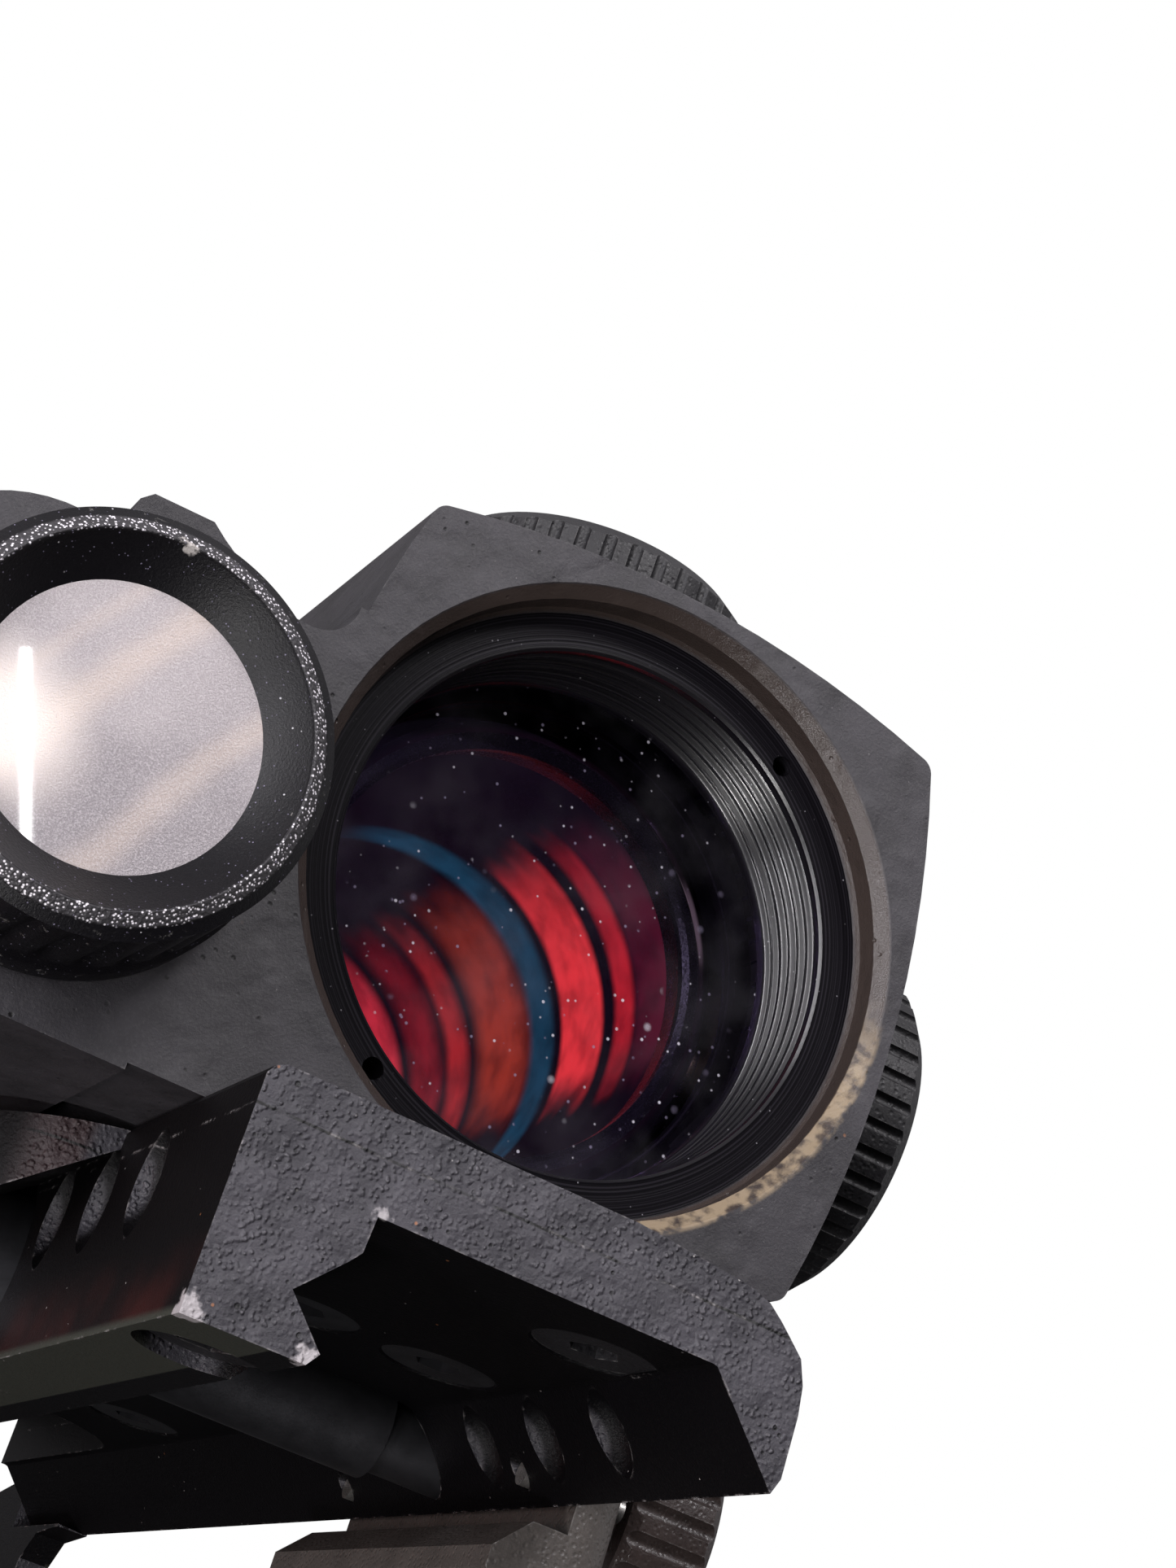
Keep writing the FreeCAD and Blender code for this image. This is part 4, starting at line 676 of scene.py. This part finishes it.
def drill(piece, points, radius, depth):
    """Round holes into a face that looks back along Y."""
    cutter = bmesh.new()
    for point in points:
        place = Matrix.Translation(point) @ Matrix.Rotation(math.radians(90), 4, "X")
        bmesh.ops.create_cone(cutter, cap_ends=True, segments=24, radius1=radius, radius2=radius,
                              depth=2 * depth, matrix=place)
    mesh = bpy.data.meshes.new("holes")
    cutter.to_mesh(mesh)
    cutter.free()
    holes = bpy.data.objects.new("holes", mesh)
    bpy.context.scene.collection.objects.link(holes)
    removal = piece.modifiers.new("holes", "BOOLEAN")
    removal.operation = "DIFFERENCE"
    removal.object = holes
    done = piece.evaluated_get(bpy.context.evaluated_depsgraph_get())
    drilled = bpy.data.meshes.new_from_object(done)
    piece.modifiers.clear()
    piece.data = drilled
    bpy.data.objects.remove(holes)
    smooth(piece.data)


def retaining_ring():
    """Ring in the mouth: turning marks on its face, rounded grooves in its bore, two spanner holes."""
    low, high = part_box("rear_retaining_ring")
    front, back = low.y / MM, high.y / MM
    outer = half_width("rear_retaining_ring") / MM
    bore = outer - RING_WIDTH
    profile = [(back, outer), (front, outer)]
    for index in range(1, RING_MARKS):
        radius = outer - RING_WIDTH * index / RING_MARKS
        sink = RING_MARK_DEPTH if index % 2 else 0.0
        profile.append((front + sink, radius))
    profile += [(front, bore + RING_BEVEL), (front + RING_BEVEL, bore)]
    rows = RING_GROOVES * 10
    start = front + RING_LAND
    length = back - front - 2 * RING_LAND
    for row in range(rows + 1):
        share = row / rows
        wave = 0.5 - 0.5 * math.cos(2 * math.pi * RING_GROOVES * share)
        profile.append((start + length * share, bore + RING_GROOVE_DEPTH * wave))
    profile.append((back, bore))
    piece = turned_piece("rear_retaining_ring_turned", profile, SIGHT, 192)
    holes = []
    reach = (outer - RING_WIDTH / 2) * MM
    for angle in SPANNER_ANGLES:
        turn = math.radians(angle)
        holes.append(Vector((SIGHT.x + reach * math.cos(turn), low.y, SIGHT.z + reach * math.sin(turn))))
    drill(piece, holes, SPANNER_HOLE_R * MM, SPANNER_HOLE_DEPTH * MM)
    finish(piece, "rear_retaining_ring", "sight", "turned_black")


def ribbed_dial():
    """Dial with a dished face, a frosted bevel and rounded ridges that lean a little."""
    front = DIAL_LOW.y / MM
    back = DIAL_HIGH.y / MM
    skirt = DIAL_R / MM
    body = skirt - DIAL_SKIRT_STEP
    inside = skirt - DIAL_WALL
    disc = DISC_R / MM
    recess_y = DISC_LOW.y / MM + DISC_THICKNESS
    ridge_start = front + 0.7
    ridge_end = back - DIAL_SKIRT_LENGTH
    profile = [(recess_y + DIAL_FLOOR, DIAL_BORE_R), (recess_y, DIAL_BORE_R), (recess_y, disc),
               (recess_y - DISC_THICKNESS, disc)]
    # The dish rises to the frosted bevel, which falls away to the ridges.
    profile += [(front + 0.17, FROST_START - 0.12), (front + 0.03, FROST_START - 0.04),
                (front, FROST_START + 0.06), (front + 0.35, FROST_END), (front + 0.6, body - 0.16)]
    for row in range(DIAL_ROWS + 1):
        profile.append((ridge_start + (ridge_end - ridge_start) * row / DIAL_ROWS, body))
    profile += [(ridge_end + 0.3, skirt), (back - 0.1, skirt), (back, skirt - 0.1), (back, inside),
                (back - 1.0, inside), (back - 1.0, DIAL_HUB_R), (recess_y + DIAL_FLOOR, DIAL_HUB_R)]

    def groove(y, radius, turn):
        if radius < body - 0.01 or not ridge_start <= y <= ridge_end:
            return 0.0
        ends = min(y - ridge_start, ridge_end - y, DIAL_GROOVE_RUN_OUT) / DIAL_GROOVE_RUN_OUT
        lean = math.radians(DIAL_LEAN) * (y - ridge_start) / body
        wave = 0.5 + 0.5 * math.cos(DIAL_RIDGES * (turn + lean))
        return DIAL_GROOVE_DEPTH * ends * wave ** 2

    piece = turned_piece("brightness_dial_ribbed", profile, DIAL, DIAL_RIDGES * 14, groove)
    finish(piece, "brightness_dial", "dial", "dial_black")


def finish(piece, node, body, look):
    """Stand in for a CAD node on its body, in its material slot."""
    piece.data.materials.append(material(look))
    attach(piece, body)
    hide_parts(node)


# ---- studio ----
# Lamps that face the scope's middle: name, place, width, height, power in watts, colour.
LAMPS = (
    ("key", (0.10, -0.38, 0.42), 0.22, 0.16, 2.2, (1.0, 0.97, 1.0)),
    ("left_soft", (-0.30, -0.40, 0.10), 0.10, 0.30, 0.7, (0.98, 0.96, 1.0)),
    ("right_rim", (0.50, 0.05, 0.10), 0.10, 0.40, 0.12, (1.0, 1.0, 1.0)),
    ("low_left", (-0.20, -0.26, -0.34), 0.10, 0.05, 1.0, (1.0, 0.98, 0.98)),
    ("groove_strip", (-0.40, -0.24, 0.02), 0.04, 0.60, 2.4, (0.98, 0.96, 1.0)),
    ("red_glow", (-0.38, 0.08, -0.13), 0.15, 0.15, 0.12, (1.0, 0.35, 0.25)),
)
TUBE_LAMP_WAY = Vector((0.0894, -0.5604, 0.2070))    # from the disc to the lamp mirrored in it
TUBE_LAMP_UP = Vector((-0.43, 0.24, 0.87))           # its long way, upright in the mirror image
TUBE_LAMP_WIDTH, TUBE_LAMP_HEIGHT = 0.0022, 0.052
CAMERA_PLACE = Vector((-43.6, -100.7, -25.6)) * MM
CAMERA_HEADING = 20.4847                             # degrees from +Y towards +X
CAMERA_RISE = 23.4669                                # degrees above level
CAMERA_ROLL = 18.4218                                # degrees, anticlockwise as the camera sees it
CAMERA_LENS = 65.74                                  # in mm, on a sensor 36 mm high
SKY_BELOW = 0.015                                    # how bright the studio is to the object, below and above
SKY_ABOVE = 0.50


def floor():
    half = 2.0
    corners = [(-half, -half), (half, -half), (half, half), (-half, half)]
    mesh = bpy.data.meshes.new("floor")
    mesh.from_pydata([(x, y, FLOOR_Z) for x, y in corners], [], [(0, 1, 2, 3)])
    plane = bpy.data.objects.new("floor", mesh)
    bpy.context.scene.collection.objects.link(plane)
    mesh.materials.append(floor_white())


def lamp(name, place, target, width, height, power, colour=(1.0, 1.0, 1.0)):
    data = bpy.data.lights.new(name, "AREA")
    data.shape = "RECTANGLE"
    data.size = width
    data.size_y = height
    data.energy = power
    data.color = colour
    light = bpy.data.objects.new(name, data)
    light.location = place
    light.rotation_mode = "QUATERNION"
    light.rotation_quaternion = (Vector(target) - Vector(place)).to_track_quat("-Z", "Y")
    bpy.context.scene.collection.objects.link(light)
    return light


def stand_along(long_way, facing):
    """Turn of a lamp that faces one way and has its height along another."""
    back = -facing.normalized()
    side = long_way.cross(back).normalized()
    upright = back.cross(side)
    return Matrix((side, upright, back)).transposed().to_quaternion()


def lights():
    middle = (cad_low + cad_high) / 2
    for name, place, width, height, power, colour in LAMPS:
        lamp(name, place, middle, width, height, power, colour)
    # The last lamp is seen only as a bright line in the lacquer of the dial's disc.
    across, down = DISC_R * 0.52, DISC_R * 0.35
    mirror = Vector((DISC_LOW.x + across, DISC_LOW.y, centre("dial_disc").z - down))
    tube = lamp("tube_lamp", mirror + TUBE_LAMP_WAY, mirror, TUBE_LAMP_WIDTH, TUBE_LAMP_HEIGHT, 0.03)
    tube.rotation_quaternion = stand_along(TUBE_LAMP_UP, mirror - tube.location)


def world():
    """Plain white to the camera; to the object, a studio that is bright above and dim below."""
    sky = bpy.data.worlds.new("studio")
    bpy.context.scene.world = sky
    sky.use_nodes = True
    tree = sky.node_tree
    tree.nodes.clear()
    ray = tree.nodes.new("ShaderNodeLightPath")
    coords = tree.nodes.new("ShaderNodeTexCoord")
    parts = tree.nodes.new("ShaderNodeSeparateXYZ")
    tree.links.new(coords.outputs["Generated"], parts.inputs[0])
    rise = tree.nodes.new("ShaderNodeMapRange")
    for side, value in (("From Min", -0.2), ("From Max", 0.9), ("To Min", SKY_BELOW), ("To Max", SKY_ABOVE)):
        rise.inputs[side].default_value = value
    tree.links.new(parts.outputs["Z"], rise.inputs[0])
    soft = tree.nodes.new("ShaderNodeBackground")
    tree.links.new(rise.outputs[0], soft.inputs["Strength"])
    white = tree.nodes.new("ShaderNodeBackground")
    both = tree.nodes.new("ShaderNodeMixShader")
    tree.links.new(ray.outputs["Is Camera Ray"], both.inputs["Fac"])
    tree.links.new(soft.outputs[0], both.inputs[1])
    tree.links.new(white.outputs[0], both.inputs[2])
    output = tree.nodes.new("ShaderNodeOutputWorld")
    tree.links.new(both.outputs[0], output.inputs["Surface"])
    white.inputs["Color"].default_value = (1.0, 1.0, 1.0, 1.0)
    soft.inputs["Color"].default_value = (0.98, 0.95, 1.0, 1.0)


def camera():
    """Close below and left of the eye end, looking up along the scope."""
    heading, rise, roll = (math.radians(turn) for turn in (CAMERA_HEADING, CAMERA_RISE, CAMERA_ROLL))
    level = Vector((math.cos(heading), -math.sin(heading), 0.0))
    ahead = Vector((math.sin(heading) * math.cos(rise), math.cos(heading) * math.cos(rise), math.sin(rise)))
    right = Matrix.Rotation(-roll, 3, ahead) @ level
    up = right.cross(ahead)
    data = bpy.data.cameras.new("camera")
    data.lens = CAMERA_LENS
    data.sensor_width = 36.0
    data.clip_start = 1 * MM
    data.clip_end = 10.0
    view = bpy.data.objects.new("camera", data)
    turn = Matrix((right, up, -ahead)).transposed().to_4x4()
    view.matrix_world = Matrix.Translation(CAMERA_PLACE) @ turn
    bpy.context.scene.collection.objects.link(view)
    bpy.context.scene.camera = view


dress_cad_nodes()
retaining_ring()
ribbed_dial()
floor()
lights()
world()
camera()
bpy.context.scene.view_settings.view_transform = "Standard"
